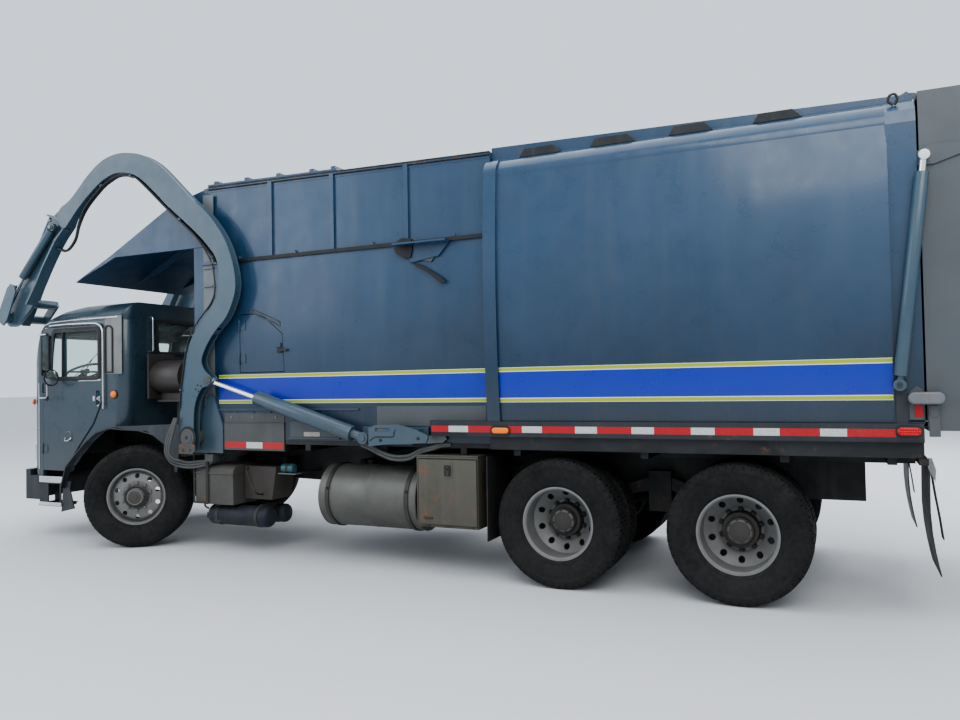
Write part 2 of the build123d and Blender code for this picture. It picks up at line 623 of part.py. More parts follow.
def bowed(extra, low, y0, y1, inner=None, deep=0.0):
    """Left body wall: bowed outwards at mid height, rounded in at the shoulder; inner makes its inner face flat,
    deep moves it inwards."""
    out, into = BODY_HALF + extra, BODY_HALF - WALL - deep
    with BuildPart() as wall:
        with BuildSketch(Plane.XZ.offset(-(y1 + Y0))):
            with BuildLine():
                ThreePointArc((out, low), (BODY_BULGE + extra, 2440), (out, SHOULDER_Z))
                ThreePointArc((out, SHOULDER_Z), (out - 20, SHOULDER_Z + 92), (out - 90, TOPZ))
                if inner is None:
                    Line((out - 90, TOPZ), (into - 85, TOPZ - 20))
                    ThreePointArc((into - 85, TOPZ - 20), (into - 19, TOPZ - 84), (into, SHOULDER_Z))
                    ThreePointArc((into, SHOULDER_Z), (BODY_BULGE - WALL - deep, 2440), (into, low))
                    Line((into, low), (out, low))
                else:
                    Line((out - 90, TOPZ), (inner - 85, TOPZ - 20))
                    Line((inner - 85, TOPZ - 20), (inner, SHOULDER_Z - 40))
                    Line((inner, SHOULDER_Z - 40), (inner, low))
                    Line((inner, low), (out, low))
            make_face()
        extrude(amount=y1 - y0)
    return wall.part


with BuildPart() as left_wall:
    add(bowed(0, 1351, POST_Y[1] - 5, REAR_POST_Y + 4))
    add(bowed(26, 1351, POST_Y[0], POST_Y[1], None, 3.0))
    # front ring closes the step from the wide body to the narrower hopper
    block((1044, 1180), (POST_Y[0], POST_Y[0] + 20), (1351, 3500))
    # straight rear ring post and the edge plate in front of it
    add(bowed(-3, 1351, REAR_POST_Y - 3, REAR_POST_Y + 8, BODY_HALF - WALL - 8))
    extrude(front([(1212, 1351), (1212, SHOULDER_Z), (1192, 3490), (1122, TOPZ), (1095, 3540), (1155, 3475),
                   (1177, 3380), (1177, 1351)], BODY_REAR_Y), amount=BODY_REAR_Y - REAR_POST_Y)
with BuildPart() as body_sides:
    add(left_wall.part)
    add(mirror(left_wall.part, about=Plane.YZ, mode=Mode.PRIVATE))
save(body_sides.part, "body_sides")

# crown: sloping shoulder strips, upright sides and a top that falls to the rear
CROWN = [(POST_Y[0], 3590), (POST_Y[0], 3706), (BODY_REAR_Y, 3640), (BODY_REAR_Y, 3590)]
SCOOPS = ((4371, 4742), (4988, 5363), (5621, 5958), (6245, 6588))
with BuildPart() as body_roof:
    for s in (1, -1):
        extrude(front([(s * 1112, TOPZ + 3), (s * 1030, 3604), (s * 1030, 3586), (s * 1092, TOPZ - 16)], BODY_REAR_Y),
                amount=BODY_REAR_Y - POST_Y[0])
        x0, x1 = sorted((s * 1018, s * 1036))
        extrude(side(CROWN, x0), amount=x1 - x0)
        # closed scoops standing on the shoulder
        for y0, y1 in SCOOPS:
            x0, x1 = sorted((s * 1034, s * 1096))
            extrude(side([(y0, TOPZ + 12), (y1, TOPZ + 12), (y1 - 68, 3640), (y0 + 45, 3640)], x0), amount=x1 - x0)
    extrude(side([(POST_Y[0], 3690), (POST_Y[0], 3706), (BODY_REAR_Y, 3640), (BODY_REAR_Y, 3624)], -1036), amount=2072)
    block((-1020, 1020), (POST_Y[0], POST_Y[0] + 16), (3640, 3698))
    block((-1020, 1020), (BODY_REAR_Y - 16, BODY_REAR_Y), (3586, 3636))
    # hinge ears of the tailgate
    for x in (700.0, -700.0):
        for dx in (-70, 40):
            extrude(side([(7185, 3630), (7299, 3630), (7325, 3705), (7285, 3747), (7185, 3695)], x + dx), amount=30)
            rod_x(20.3, x + dx - 5, x + dx + 35, *TAIL_HINGE, Mode.SUBTRACT)
save(body_roof.part, "body_roof")

# floor, cross bearers, long subframe, side sills
with BuildPart() as body_floor:
    block((-1104, 1104), (HF, POST_Y[0] + 10), FLOOR_Z)
    block((-1174, 1174), (POST_Y[0], BODY_REAR_Y - 10), FLOOR_Z)
    blocks((RAIL_X - 90, RAIL_X + 5), (HF, BODY_REAR_Y - 10), (RAIL_TOP + 1, FLOOR_Z[0] + 5))
    for y in (1300.0, 2150.0, 3000.0, 3800.0, 4300.0, 5375.0, 6400.0, 7100.0):
        block((-1100, 1100), (y - 30, y + 30), (1055, FLOOR_Z[0] + 5))
    # sill with the reflective band, rear body; it narrows towards the hopper
    for s in (1, -1):
        block(sorted((s * 1160, s * 1240)), (POST_Y[0], BODY_REAR_Y - 10), (1222, 1350))
        block(sorted((s * 1160, s * 1185)), (POST_Y[0], BODY_REAR_Y - 10), (1145, 1240))
        block(sorted((s * 1085, s * 1185)), (POST_Y[0], BODY_REAR_Y - 10), (1112, 1150))
        block(sorted((s * 1044, s * 1181)), (POST_Y[0], POST_Y[0] + 20), (1145, 1350))
        extrude(plan([(s * 1106, 3480), (s * 1240, 3560), (s * 1240, POST_Y[0] + 5), (s * 1106, POST_Y[0] + 5)], 1222),
                amount=128)
        # pin plates of the tailgate cylinders
        block(sorted((s * 1213.5, s * 1229)), (7126, 7195), (1340, 1645))
        rod_x(16, *sorted((s * 1220, s * 1308)), *TAIL_BASE)
    # rear sump wall below the tailgate
    block((-1170, 1170), (BODY_REAR_Y - 30, BODY_REAR_Y - 10), (1120, 1350))
    # hanger bar of the rear mud flaps
    blocks((440, 1215), (BODY_REAR_Y - 45, BODY_REAR_Y + 12), (1068, 1112))
    # bearer box on each side under the hopper
    for s in (1, -1):
        x0, x1 = sorted((s * 800, s * 1104))
        block((x0, x1), (1130, 1890), (1040, 1113))
save(body_floor.part, "body_floor")

# packing panel that pushes the load to the rear
with BuildPart() as packer_panel:
    block((-1030, 1030), (960, 1150), (1156, 2350))
    extrude(side([(960, 2350), (1150, 2350), (960, 2480)], -1030), amount=2060)
save(packer_panel.part, "packer_panel")

# brackets that carry the arms' cross tube and the lift cylinders' base pins
with BuildPart() as arm_brackets:
    for s in (1, -1):
        x0, x1 = sorted((s * 1107, s * 1130))
        extrude(side([(690, 1010), (690, 1240), (830, 1330), (945, 1600), (1000, 1600), (1125, 1290), (1125, 1010)],
                     x0), amount=x1 - x0)
        rod_x(66, x0 - 5, x1 + 5, *ARM_PIVOT, Mode.SUBTRACT)
        # cross beams under the floor carry the pivot plates
        block(sorted((s * 440, s * 1120)), (1010, 1080), (1012, 1109))
        block(sorted((s * 440, s * 1120)), (720, 760), (1012, 1090))
        # long bracket of the cylinder's base, tapering to the rear
        x0, x1 = sorted((s * 1107, s * 1134))
        extrude(side([(2790, 1128), (2790, 1290), (3300, 1290), (3474, 1290), (3474, 1222), (3300, 1130)], x0),
                amount=x1 - x0)
        rod_x(30, *sorted((s * 1120, s * 1272)), *LIFT_BASE)
        x0, x1 = sorted((s * 1238, s * 1262))
        extrude(side([(2932, 1122), (3097, 1140), (3517, 1160), (3538, 1212), (3528, 1229), (3402, 1279),
                      (3232, 1321), (2996, 1311), (2932, 1284)], x0), amount=x1 - x0)
        x0, x1 = sorted((s * 1250, s * 1270))
        block((x0, x1), (3006, 3155), (1257, 1288), Mode.SUBTRACT)
        x0, x1 = sorted((s * 1130, s * 1242))
        block((x0, x1), (3020, 3040), (1137, 1300))
        block((x0, x1), (3400, 3420), (1200, 1276))
save(arm_brackets.part, "arm_brackets")

with BuildPart() as mud_flaps:
    for s in (1, -1):
        x0, x1 = sorted((s * 640, s * 1215))
        block((x0, x1), (7313, 7323), (330, 1108))
        block((x0, x1), (4060, 4070), (340, 1054))
        block(sorted((s * 434, s * 660)), (4058, 4082), (900, 930))
save(mud_flaps.part, "mud_flaps")

with BuildPart() as lamps:
    for s in (1, -1):
        # paired headlamps, corner markers, side marker and tail lamp
        for x in (760.0, 900.0):
            with Locations(Location((s * x, yy(-1862), 960), (90, 0, 0))):
                Cylinder(60, 24)
        block(sorted((s * 1051, s * 1066)), (-505, -455), (1580, 1650))
        block(sorted((s * 1000, s * 1040)), (-1872, -1851), (1500, 1580))
        block(sorted((s * 1241, s * 1256)), (4130, 4290), (1245, 1305))
        block(sorted((s * 1241, s * 1252)), (7115, 7270), (1262, 1322))
    for x in (-600.0, -80.0, 0.0, 80.0, 600.0):
        block((x - 30, x + 30), (-1568, -1512), (2504, 2548))
save(lamps.part, "lamps")

# =============================================================================
# DOORS
# =============================================================================
DOOR_AXIS = (1063.0, -1640.0)    # x, y of the hinge line
for tag, s in (("left", 1), ("right", -1)):
    x0, x1 = sorted((s * 1004, s * 1052))
    with BuildPart() as door:
        extrude(side(DOOR, x0), amount=x1 - x0)
        # window with a vent bar near its front
        extrude(side([(-1560, 1815), (-1480, 2360), (-725, 2360), (-725, 1815)], s * 1028 - 40), amount=80,
                mode=Mode.SUBTRACT)
        block((s * 1028 - 20, s * 1028 + 20), (-1310, -1290), (1810, 2362))
        # hollow inner side
        extrude(side([(-1600, 800), (-1600, 1770), (-705, 1770), (-705, 1600), (-850, 1330), (-1060, 1100),
                      (-1225, 900), (-1250, 800)], s * 1015 - 16), amount=32, mode=Mode.SUBTRACT)
        extrude(side([(-1605, 790), (-1605, 1780), (-700, 1780), (-700, 1600), (-840, 1310), (-1050, 1080),
                      (-1200, 880), (-1240, 790)], s * 1006 - 2), amount=4)
        # hinge barrels and their leaves
        for z in (945, 1645):
            rod_z(9, s * DOOR_AXIS[0], DOOR_AXIS[1], z, z + 110)
            block(sorted((s * 1050, s * 1058)), (DOOR_AXIS[1] + 6, DOOR_AXIS[1] + 70), (z + 10, z + 100))
        # grab handle
        block(sorted((s * 1052, s * 1078)), (-760, -740), (1500, 1520))
        block(sorted((s * 1052, s * 1078)), (-760, -740), (1640, 1660))
        block(sorted((s * 1066, s * 1078)), (-760, -740), (1500, 1660))
    save(door.part, "cab_door_" + tag)
    with BuildPart() as pane:
        extrude(side([(-1556, 1818), (-1477, 2357), (-1312, 2357), (-1312, 1818)], s * 1028 - 3), amount=6)
        extrude(side([(-1288, 1818), (-1288, 2357), (-728, 2357), (-728, 1818)], s * 1028 - 3), amount=6)
    save(pane.part, "door_glass_" + tag)

# =============================================================================
# LIFT ARMS, FORKS AND THEIR CYLINDERS
# =============================================================================
# arm outline from the lower end up the rear edge, over the arch and back down the front edge
ARM_LOWER = [(735, 1025), (690, 1090), (682, 1340), (695, 1505), (715, 1790), (755, 1925), (800, 2075),
             (905, 2255), (1175, 2245), (1055, 2106), (980, 1962), (990, 1895), (1030, 1835), (1100, 1790),
             (1120, 1740), (1085, 1685), (1000, 1680), (950, 1635), (885, 1500), (870, 1335), (875, 1090),
             (840, 1025)]
ARM_UPPER = [(905, 2255), (1095, 2475), (1190, 2600), (1220, 2785), (1205, 2915), (1135, 3045), (920, 3245),
             (580, 3520), (205, 3855), (40, 3950), (-180, 3990), (-355, 3945), (-500, 3870), (-750, 3690),
             (-925, 3520), (-1010, 3440), (-1110, 3560), (-1080, 3700), (-905, 3760), (-620, 4020),
             (-405, 4155), (-200, 4195), (-30, 4185), (200, 4135), (420, 4010), (640, 3800), (855, 3595),
             (1020, 3470), (1155, 3340), (1300, 3145), (1395, 2920), (1440, 2690), (1405, 2535), (1315, 2360),
             (1175, 2245)]
ARM_LEG = [(-905, 3760), (-905, 3540), (-1130, 3330), (-1335, 3050), (-1445, 2875), (-1610, 2650), (-1880, 2440), (-1940, 2400), (-2050, 2410),
           (-2095, 2520), (-2060, 2600), (-1960, 2680), (-1795, 2925), (-1640, 3170), (-1490, 3370), (-1305, 3660)]
XI, XO = ARM_X - ARM_HALF, ARM_X + ARM_HALF
with BuildPart() as lift_arms:
    for s in (1, -1):
        # lower leg: two plates with the lug between them, closed along the front edge
        for a, b in ((XI, XI + 16), (XO - 16, XO)):
            x0, x1 = sorted((s * a, s * b))
            extrude(side(ARM_LOWER, x0), amount=x1 - x0)
        x0, x1 = sorted((s * XI, s * XO))
        extrude(side([(735, 1025), (690, 1090), (682, 1340), (695, 1505), (715, 1790), (755, 1925), (800, 2075),
                      (905, 2255), (925, 2245), (820, 2068), (776, 1920), (737, 1787), (717, 1505), (704, 1340),
                      (712, 1100), (745, 1045)], x0), amount=x1 - x0)
        extrude(side([(905, 2255), (1175, 2245), (1140, 2200), (895, 2235)], x0), amount=x1 - x0)
        # gooseneck
        extrude(side(ARM_UPPER, x0), amount=x1 - x0)
        # end leg: plate on the inner side with a flange along its rear edge
        x0, x1 = sorted((s * 1146, s * 1190))
        extrude(side(ARM_LEG, x0), amount=x1 - x0)
        x0, x1 = sorted((s * 1146, s * 1282))
        extrude(side([(-1130, 3330), (-1335, 3050), (-1445, 2875), (-1610, 2650), (-1632, 2662), (-1467, 2887),
                      (-1357, 3062), (-1152, 3342)], x0), amount=x1 - x0)
        # pivot bosses
        x0, x1 = sorted((s * 1134, s * 1292))
        rod_x(88, x0, x1, *ARM_PIVOT)
        x0, x1 = sorted((s * 1130, s * 1196))
        rod_x(84, x0, x1, *FORK_PIVOT)
        rod_x(51, x0 - 20, x1 + 20, *FORK_PIVOT, Mode.SUBTRACT)
        # base pin of the fork cylinder
        x0, x1 = sorted((s * 1186, s * 1292))
        rod_x(22, x0, x1, *FORK_BASE)
    # cross tube joins both arms under the hopper's front
    rod_x(64, -1140, 1140, *ARM_PIVOT)
save(lift_arms.part, "lift_arms")

# forks: shaft through the arm's end, crank outside, tine folded up along the arm
TINE = 57.0                  # direction of the folded tine from +Y
TINE_LENGTH = 1180.0
FORK_TUBE = (-1795.0, 2690.0)


def along(p, angle, forward, across):
    """Point from p, forward along the angle in the YZ plane and across to its left."""
    a = radians(angle)
    return (p[0] + forward * cos(a) - across * sin(a), p[1] + forward * sin(a) + across * cos(a))


with BuildPart() as forks:
    for s in (1, -1):
        x0, x1 = sorted((s * 735, s * 1292))
        rod_x(50, x0, x1, *FORK_PIVOT)
        # tube welded across the backs of the tines, joined to the shaft by an end plate
        x0, x1 = sorted((s * 790, s * 1110))
        rod_x(52, x0, x1, *FORK_TUBE)
        x0, x1 = sorted((s * 760, s * 790))
        extrude(side([(FORK_PIVOT[0] - 50, FORK_PIVOT[1] - 30), (FORK_PIVOT[0] + 60, FORK_PIVOT[1] - 45),
                      (FORK_TUBE[0] + 50, FORK_TUBE[1] - 20), (FORK_TUBE[0] + 30, FORK_TUBE[1] + 45),
                      (FORK_TUBE[0] - 40, FORK_TUBE[1] + 40)], x0), amount=x1 - x0)
        x0, x1 = sorted((s * 960, s * 1060))
        extrude(side([along(FORK_PIVOT, TINE, -58, -58), along(FORK_PIVOT, TINE, -58, 60),
                      along(FORK_PIVOT, TINE, 160, 90), along(FORK_PIVOT, TINE, 420, 82),
                      along(FORK_PIVOT, TINE, TINE_LENGTH, 60), along(FORK_PIVOT, TINE, TINE_LENGTH + 40, 30),
                      along(FORK_PIVOT, TINE, TINE_LENGTH, 0), along(FORK_PIVOT, TINE, 160, -60)], x0),
                amount=x1 - x0)
        # crank plate outside the cylinder's eye
        x0, x1 = sorted((s * 1274, s * 1292))
        extrude(side([(-2085, 2490), (-1995, 2430), (-1925, 2500), (-1785, 2800), (-1800, 2885), (-1870, 2905),
                      (-1925, 2860), (-2080, 2570)], x0), amount=x1 - x0)
        x0, x1 = sorted((s * 1196, s * 1276))
        rod_x(62, x0, x1, *FORK_PIVOT)
save(forks.part, "forks")


LIFT_LEN = hypot(LUG_PIN[0] - LIFT_BASE[0], LUG_PIN[1] - LIFT_BASE[1])
FORK_LEN = hypot(FORK_CRANK[0] - FORK_BASE[0], FORK_CRANK[1] - FORK_BASE[1])
TAIL_LEN = hypot(TAIL_EYE[0] - TAIL_BASE[0], TAIL_EYE[1] - TAIL_BASE[1])

# (name, base, eye, x, barrel radius, rod radius, barrel start, barrel end, bore start, rod start, eye radius,
# eye half width, pin radius)
CYLINDERS = (
    ("lift", LIFT_BASE, LUG_PIN, ARM_X, 72.0, 25.0, 130.0, LIFT_LEN - 612, 150.0, 830.0, 46.0, 24.0, 30.4),
    ("fork", FORK_BASE, FORK_CRANK, 1242.0, 44.0, 20.0, 40.0, FORK_LEN - 190, 90.0, 130.0, 34.0, 18.0, 22.4),
    ("tailgate", TAIL_BASE, TAIL_EYE, 1270.0, 44.0, 22.0, 62.0, TAIL_LEN - 110, 80.0, 400.0, 34.0, 44.0, 16.4),
)
for name, base, eye, x, r, rod_r, neck, end, bore, rod_start, eye_r, eye_h, pin_r in CYLINDERS:
    with BuildPart() as barrels:
        for s in (1, -1):
            xm = s * x
            half = 40.0 if name == "lift" else 20.0
            rod_to(r, between(base, eye, neck), between(base, eye, end), xm)
            rod_x(pin_r + 24, xm - half, xm + half, *base)
            rod_to(half, base, between(base, eye, neck + 10), xm)
            rod_x(pin_r, xm - 100, xm + 100, *base, Mode.SUBTRACT)
            rod_to(rod_r + 0.5, between(base, eye, bore), between(base, eye, end + 20), xm, Mode.SUBTRACT)
    save(barrels.part, name + "_cylinder_barrels")
    with BuildPart() as rods:
        for s in (1, -1):
            xm = s * x
            rod_to(rod_r, between(base, eye, rod_start), eye, xm)
            rod_x(eye_r, xm - eye_h, xm + eye_h, *eye)
    save(rods.part, name + "_cylinder_rods")

# =============================================================================
# TAILGATE
# =============================================================================
TG = [(7313, 1300), (7313, 3600), (7620, 3600), (7925, 3472), (8140, 3180), (8250, 2750), (8250, 2300),
      (8150, 1900), (7920, 1560), (7650, 1300)]
TG_IN = [(7240, 1325), (7240, 3574), (7612, 3574), (7907, 3450), (8118, 3168), (8225, 2745), (8225, 2306),
         (8128, 1912), (7905, 1582), (7640, 1325)]
with BuildPart() as tailgate:
    extrude(side(TG, -1205), amount=2410)
    # ribs round the shell
    for x in (-800.0, 0.0, 800.0):
        extrude(side([(7450, 1280), (7450, 3580), (7626, 3628), (7950, 3492), (8170, 3195), (8285, 2755),
                      (8285, 2295), (8180, 1885), (7935, 1532), (7656, 1280)], x - 30), amount=60)
    extrude(side(TG_IN, -1180), amount=2360, mode=Mode.SUBTRACT)
    # hinge arms
    for x in (700.0, -700.0):
        extrude(side([(7247, 3705), (7285, 3745), (7335, 3740), (7600, 3640), (7600, 3590), (7321, 3590),
                      (7321, 3681), (7263, 3685)], x - 36), amount=72)
        rod_x(20, x - 75, x + 75, *TAIL_HINGE)
    # cylinder lugs beside the rod's eye
    for s in (1, -1):
        extrude(side([(7302, 3090), (7302, 3190), (7380, 3220), (7620, 3220), (7620, 3160), (7400, 3090)],
                     min(s * 1200, s * 1220)), amount=20)
save(tailgate.part, "tailgate")
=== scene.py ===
import bpy
import bmesh
import math
import random
from mathutils import Matrix, Vector


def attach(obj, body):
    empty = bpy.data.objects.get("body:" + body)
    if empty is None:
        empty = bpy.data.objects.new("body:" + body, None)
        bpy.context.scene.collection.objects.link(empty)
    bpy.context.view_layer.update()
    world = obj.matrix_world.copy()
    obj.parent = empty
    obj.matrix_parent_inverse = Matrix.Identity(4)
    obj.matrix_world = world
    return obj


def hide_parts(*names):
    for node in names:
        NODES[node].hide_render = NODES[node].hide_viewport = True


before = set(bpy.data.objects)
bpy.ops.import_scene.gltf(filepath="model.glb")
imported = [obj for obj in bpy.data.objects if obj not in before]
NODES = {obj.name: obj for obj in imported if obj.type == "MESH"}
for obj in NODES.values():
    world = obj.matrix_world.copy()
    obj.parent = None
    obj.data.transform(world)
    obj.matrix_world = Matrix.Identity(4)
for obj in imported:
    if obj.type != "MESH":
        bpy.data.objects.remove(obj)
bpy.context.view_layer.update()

SC = bpy.context.scene
Y0 = -3095.0
pi, cos, sin = math.pi, math.cos, math.sin
RG = random.Random(7)


def P(x, y, z):
    """Millimetres from the drawing to metres in the row frame."""
    return Vector((x / 1000.0, (y + Y0) / 1000.0, z / 1000.0))


# =============================================================================
# MATERIALS
# =============================================================================
class Graph:
    """Small helper round a material's node tree."""

    def __init__(self, name):
        self.mat = bpy.data.materials.new(name)
        self.mat.use_nodes = True
        self.nt = self.mat.node_tree
        self.nt.nodes.clear()
        self.out = self.new("ShaderNodeOutputMaterial")
        self.bsdf = self.new("ShaderNodeBsdfPrincipled")
        self.link(self.bsdf.outputs[0], self.out.inputs[0])
        tc = self.new("ShaderNodeTexCoord")
        self.co = tc.outputs["Object"]
        sep = self.new("ShaderNodeSeparateXYZ")
        self.link(self.co, sep.inputs[0])
        self.x, self.y, self.z = sep.outputs

    def new(self, kind):
        return self.nt.nodes.new(kind)

    def link(self, a, b):
        self.nt.links.new(a, b)

    def put(self, sock, value):
        if hasattr(value, "links"):
            self.link(value, sock)
        else:
            sock.default_value = value

    def math(self, op, a, b=0.0, clamp=False):
        n = self.new("ShaderNodeMath")
        n.operation = op
        n.use_clamp = clamp
        self.put(n.inputs[0], a)
        self.put(n.inputs[1], b)
        return n.outputs[0]

    def noise(self, scale, detail=5.0, stretch=None, rough=0.55):
        n = self.new("ShaderNodeTexNoise")
        n.inputs["Scale"].default_value = scale
        n.inputs["Detail"].default_value = detail
        n.inputs["Roughness"].default_value = rough
        if stretch:
            m = self.new("ShaderNodeMapping")
            m.inputs["Scale"].default_value = stretch
            self.link(self.co, m.inputs[0])
            self.link(m.outputs[0], n.inputs["Vector"])
        else:
            self.link(self.co, n.inputs["Vector"])
        return n.outputs["Fac"]

    def remap(self, v, a, b, c=0.0, d=1.0):
        n = self.new("ShaderNodeMapRange")
        self.put(n.inputs[0], v)
        for i, w in enumerate((a, b, c, d)):
            n.inputs[i + 1].default_value = w
        return n.outputs[0]

    def mix(self, fac, a, b, blend="MIX"):
        n = self.new("ShaderNodeMix")
        n.data_type = "RGBA"
        n.blend_type = blend
        self.put(n.inputs[0], fac)
        self.put(n.inputs[6], (*a, 1.0) if isinstance(a, tuple) else a)
        self.put(n.inputs[7], (*b, 1.0) if isinstance(b, tuple) else b)
        return n.outputs[2]

    def band(self, v, lo, hi):
        """1 between lo and hi, otherwise 0."""
        return self.math("MULTIPLY", self.math("GREATER_THAN", v, lo), self.math("LESS_THAN", v, hi))

    def bump(self, height, strength, distance=0.002, after=None):
        n = self.new("ShaderNodeBump")
        n.inputs["Strength"].default_value = strength
        n.inputs["Distance"].default_value = distance
        self.link(height, n.inputs["Height"])
        if after is not None:
            self.link(after, n.inputs["Normal"])
        return n.outputs[0]


def lin(h):
    h = h.lstrip("#")
    return tuple((int(h[i:i + 2], 16) / 255.0) ** 2.2 for i in (0, 2, 4))


DUST = (0.110, 0.104, 0.092)
MUD = (0.075, 0.064, 0.050)
RUST = (0.120, 0.040, 0.012)


def surface(name, color, rough=0.45, metal=0.0, var=0.16, scale=2.2, dirt=0.35, dirt_z=(0.35, 1.7), dust=0.25,
            streak=0.25, rust=0.0, orange=0.05, bump=0.25, spec=0.5, coat=0.0, wobble=0.0, scratch=0.0, dirt_color=MUD,
            extra=None, shade=None):
    """Painted or bare surface with cloudy tone, dust, road dirt below, run-down streaks, scratches and rust; shade=
    adds painted shade low down and painted light higher up.
    """
    g = Graph(name)
    cloud = g.remap(g.noise(scale, 6.0), 0.3, 0.7, 1.0 - var, 1.0 + var)
    col = g.mix(1.0, color, g.mix(cloud, (0.0, 0.0, 0.0), (1.0, 1.0, 1.0)), "MULTIPLY")
    fine = g.noise(38.0, 4.0)
    if streak:
        run = g.remap(g.noise(1.0, 5.0, stretch=(9.0, 9.0, 0.55)), 0.52, 0.74)
        col = g.mix(g.math("MULTIPLY", run, streak), col, DUST)
    if dust:
        cover = g.remap(g.noise(1.3, 7.0, rough=0.65), 0.40, 0.72)
        col = g.mix(g.math("MULTIPLY", g.math("MULTIPLY", cover, g.remap(fine, 0.3, 0.7, 0.5, 1.0)), dust), col, DUST)
    if shade:
        # painted shade, darker towards the bottom, and painted light, brighter towards the top where the upper factor
        # passes one
        low = g.remap(g.math("ADD", g.z, g.remap(g.noise(0.9, 4.0, stretch=(1.0, 1.0, 0.5)), 0.3, 0.7, -0.25, 0.25)),
                      shade[0], shade[1], shade[2], shade[3])
        col = g.mix(1.0, col, g.mix(low, (0.0, 0.0, 0.0), (1.0, 1.0, 1.0)), "MULTIPLY")
    if extra:
        col = extra(g, col)
    if dirt:
        low = g.remap(g.z, dirt_z[1], dirt_z[0])
        splash = g.remap(g.noise(5.5, 8.0, rough=0.7), 0.25, 0.70, 0.25, 1.0)
        col = g.mix(g.math("MULTIPLY", g.math("MULTIPLY", low, splash), dirt), col, dirt_color)
    if scratch:
        marks = g.remap(g.noise(3.0, 9.0, stretch=(1.0, 6.0, 26.0), rough=0.75), 0.63, 0.70)
        col = g.mix(g.math("MULTIPLY", marks, scratch), col, (0.26, 0.265, 0.27))
    if rust:
        spot = g.remap(g.noise(7.0, 9.0, rough=0.75), 0.60 - 0.12 * rust, 0.70 - 0.08 * rust)
        red = g.mix(g.noise(24.0, 4.0), RUST, (0.24, 0.095, 0.030))
        col = g.mix(g.math("MULTIPLY", spot, min(1.0, 0.55 + rust)), col, red)
    g.link(col, g.bsdf.inputs["Base Color"])
    g.bsdf.inputs["Metallic"].default_value = metal
    g.bsdf.inputs["Specular IOR Level"].default_value = spec
    if coat:
        g.bsdf.inputs["Coat Weight"].default_value = coat
        g.bsdf.inputs["Coat Roughness"].default_value = 0.12
    r = g.remap(g.noise(4.5, 7.0, rough=0.65), 0.3, 0.7, max(0.03, rough - 0.10), min(1.0, rough + 0.14))
    g.link(r, g.bsdf.inputs["Roughness"])
    nrm = None
    if wobble:
        nrm = g.bump(g.noise(1.1, 2.0, stretch=(1.0, 2.0, 0.45)), wobble, 0.05)
    if bump:
        nrm = g.bump(g.noise(190.0, 3.0), bump, 0.0006, nrm)
    if orange:
        nrm = g.bump(fine, orange, 0.002, nrm)
    if nrm is not None:
        g.link(nrm, g.bsdf.inputs["Normal"])
    return g.mat


SLATE = (0.021, 0.044, 0.063)
BODYC = (0.013, 0.051, 0.108)
ARMC = (0.040, 0.080, 0.114)
LIME = (0.34, 0.40, 0.010)
BLUE = (0.0, 0.018, 0.33)
WHITE = (0.60, 0.62, 0.63)


def stripes(y0, y1, x_at):
    """The blue band with its two lime lines edged in white, on outer faces between y0 and y1."""
    def paint(g, col):
        out = g.math("GREATER_THAN", g.math("ABSOLUTE", g.x), x_at)
        facing = g.new("ShaderNodeSeparateXYZ")
        g.link(g.new("ShaderNodeNewGeometry").outputs["True Normal"], facing.inputs[0])
        away = g.math("GREATER_THAN", g.math("MULTIPLY", facing.outputs[0], g.x), 0.2)
        out = g.math("MULTIPLY", out, away)
        where = g.math("MULTIPLY", out, g.band(g.y, (y0 + Y0) / 1000, (y1 + Y0) / 1000))
        for lo, hi, tone in ((1.508, 1.797, WHITE), (1.512, 1.793, LIME), (1.538, 1.767, WHITE),
                             (1.545, 1.760, BLUE)):
            col = g.mix(g.math("MULTIPLY", where, g.band(g.z, lo, hi)), col, tone)
        return col
    return paint


def tape(x_min):
    """Reflective band on the sill: long red and shorter white lengths."""
    whites = ((3728, 3912), (4402, 4576), (4856, 5036), (5310, 5484), (5760, 5932), (6204, 6382), (6648, 6820))

    def paint(g, col):
        where = g.band(g.z, 1.258, 1.312)
        where = g.math("MULTIPLY", where, g.band(g.y, (3560 + Y0) / 1000.0, (7120 + Y0) / 1000.0))
        where = g.math("MULTIPLY", where, g.math("GREATER_THAN", g.math("ABSOLUTE", g.x), x_min))
        light = None
        for a, b in whites:
            one = g.band(g.y, (a + Y0) / 1000.0, (b + Y0) / 1000.0)
            light = one if light is None else g.math("ADD", light, one)
        tone = g.mix(light, (0.42, 0.010, 0.014), (0.50, 0.51, 0.50))
        grid = g.remap(g.noise(120.0, 2.0), 0.4, 0.6, 0.75, 1.0)
        tone = g.mix(1.0, tone, g.mix(grid, (0.0, 0.0, 0.0), (1.0, 1.0, 1.0)), "MULTIPLY")
        return g.mix(where, col, tone)
    return paint


M = {}
M["cab"] = surface("cab_paint", SLATE, 0.30, var=0.10, dirt=0.50, dirt_z=(0.5, 1.5), dust=0.12, streak=0.06,
                   coat=0.35, wobble=0.05)
# hopper and body sides: shade= paints shade on the lower side and light on the upper side
M["hopper"] = surface("hopper_paint", BODYC, 0.34, var=0.12, dirt=0.30, dirt_z=(1.0, 1.7), dust=0.16, streak=0.14,
                      scratch=0.22, wobble=0.3, coat=0.35, shade=(1.4, 3.4, 0.45, 1.25),
                      extra=stripes(1060, 4091, 1.0985))
M["body"] = surface("body_paint", BODYC, 0.32, var=0.10, dirt=0.25, dirt_z=(1.2, 1.7), dust=0.12, streak=0.10,
                    scratch=0.04, wobble=0.34, coat=0.4, shade=(1.4, 3.6, 0.42, 1.35),
                    extra=stripes(4206, 7113, 1.19))
M["bodyplain"] = surface("body_paint_plain", BODYC, 0.36, var=0.12, dirt=0.30, dirt_z=(1.2, 1.9), dust=0.18,
                         streak=0.16, scratch=0.10, wobble=0.14, coat=0.2)
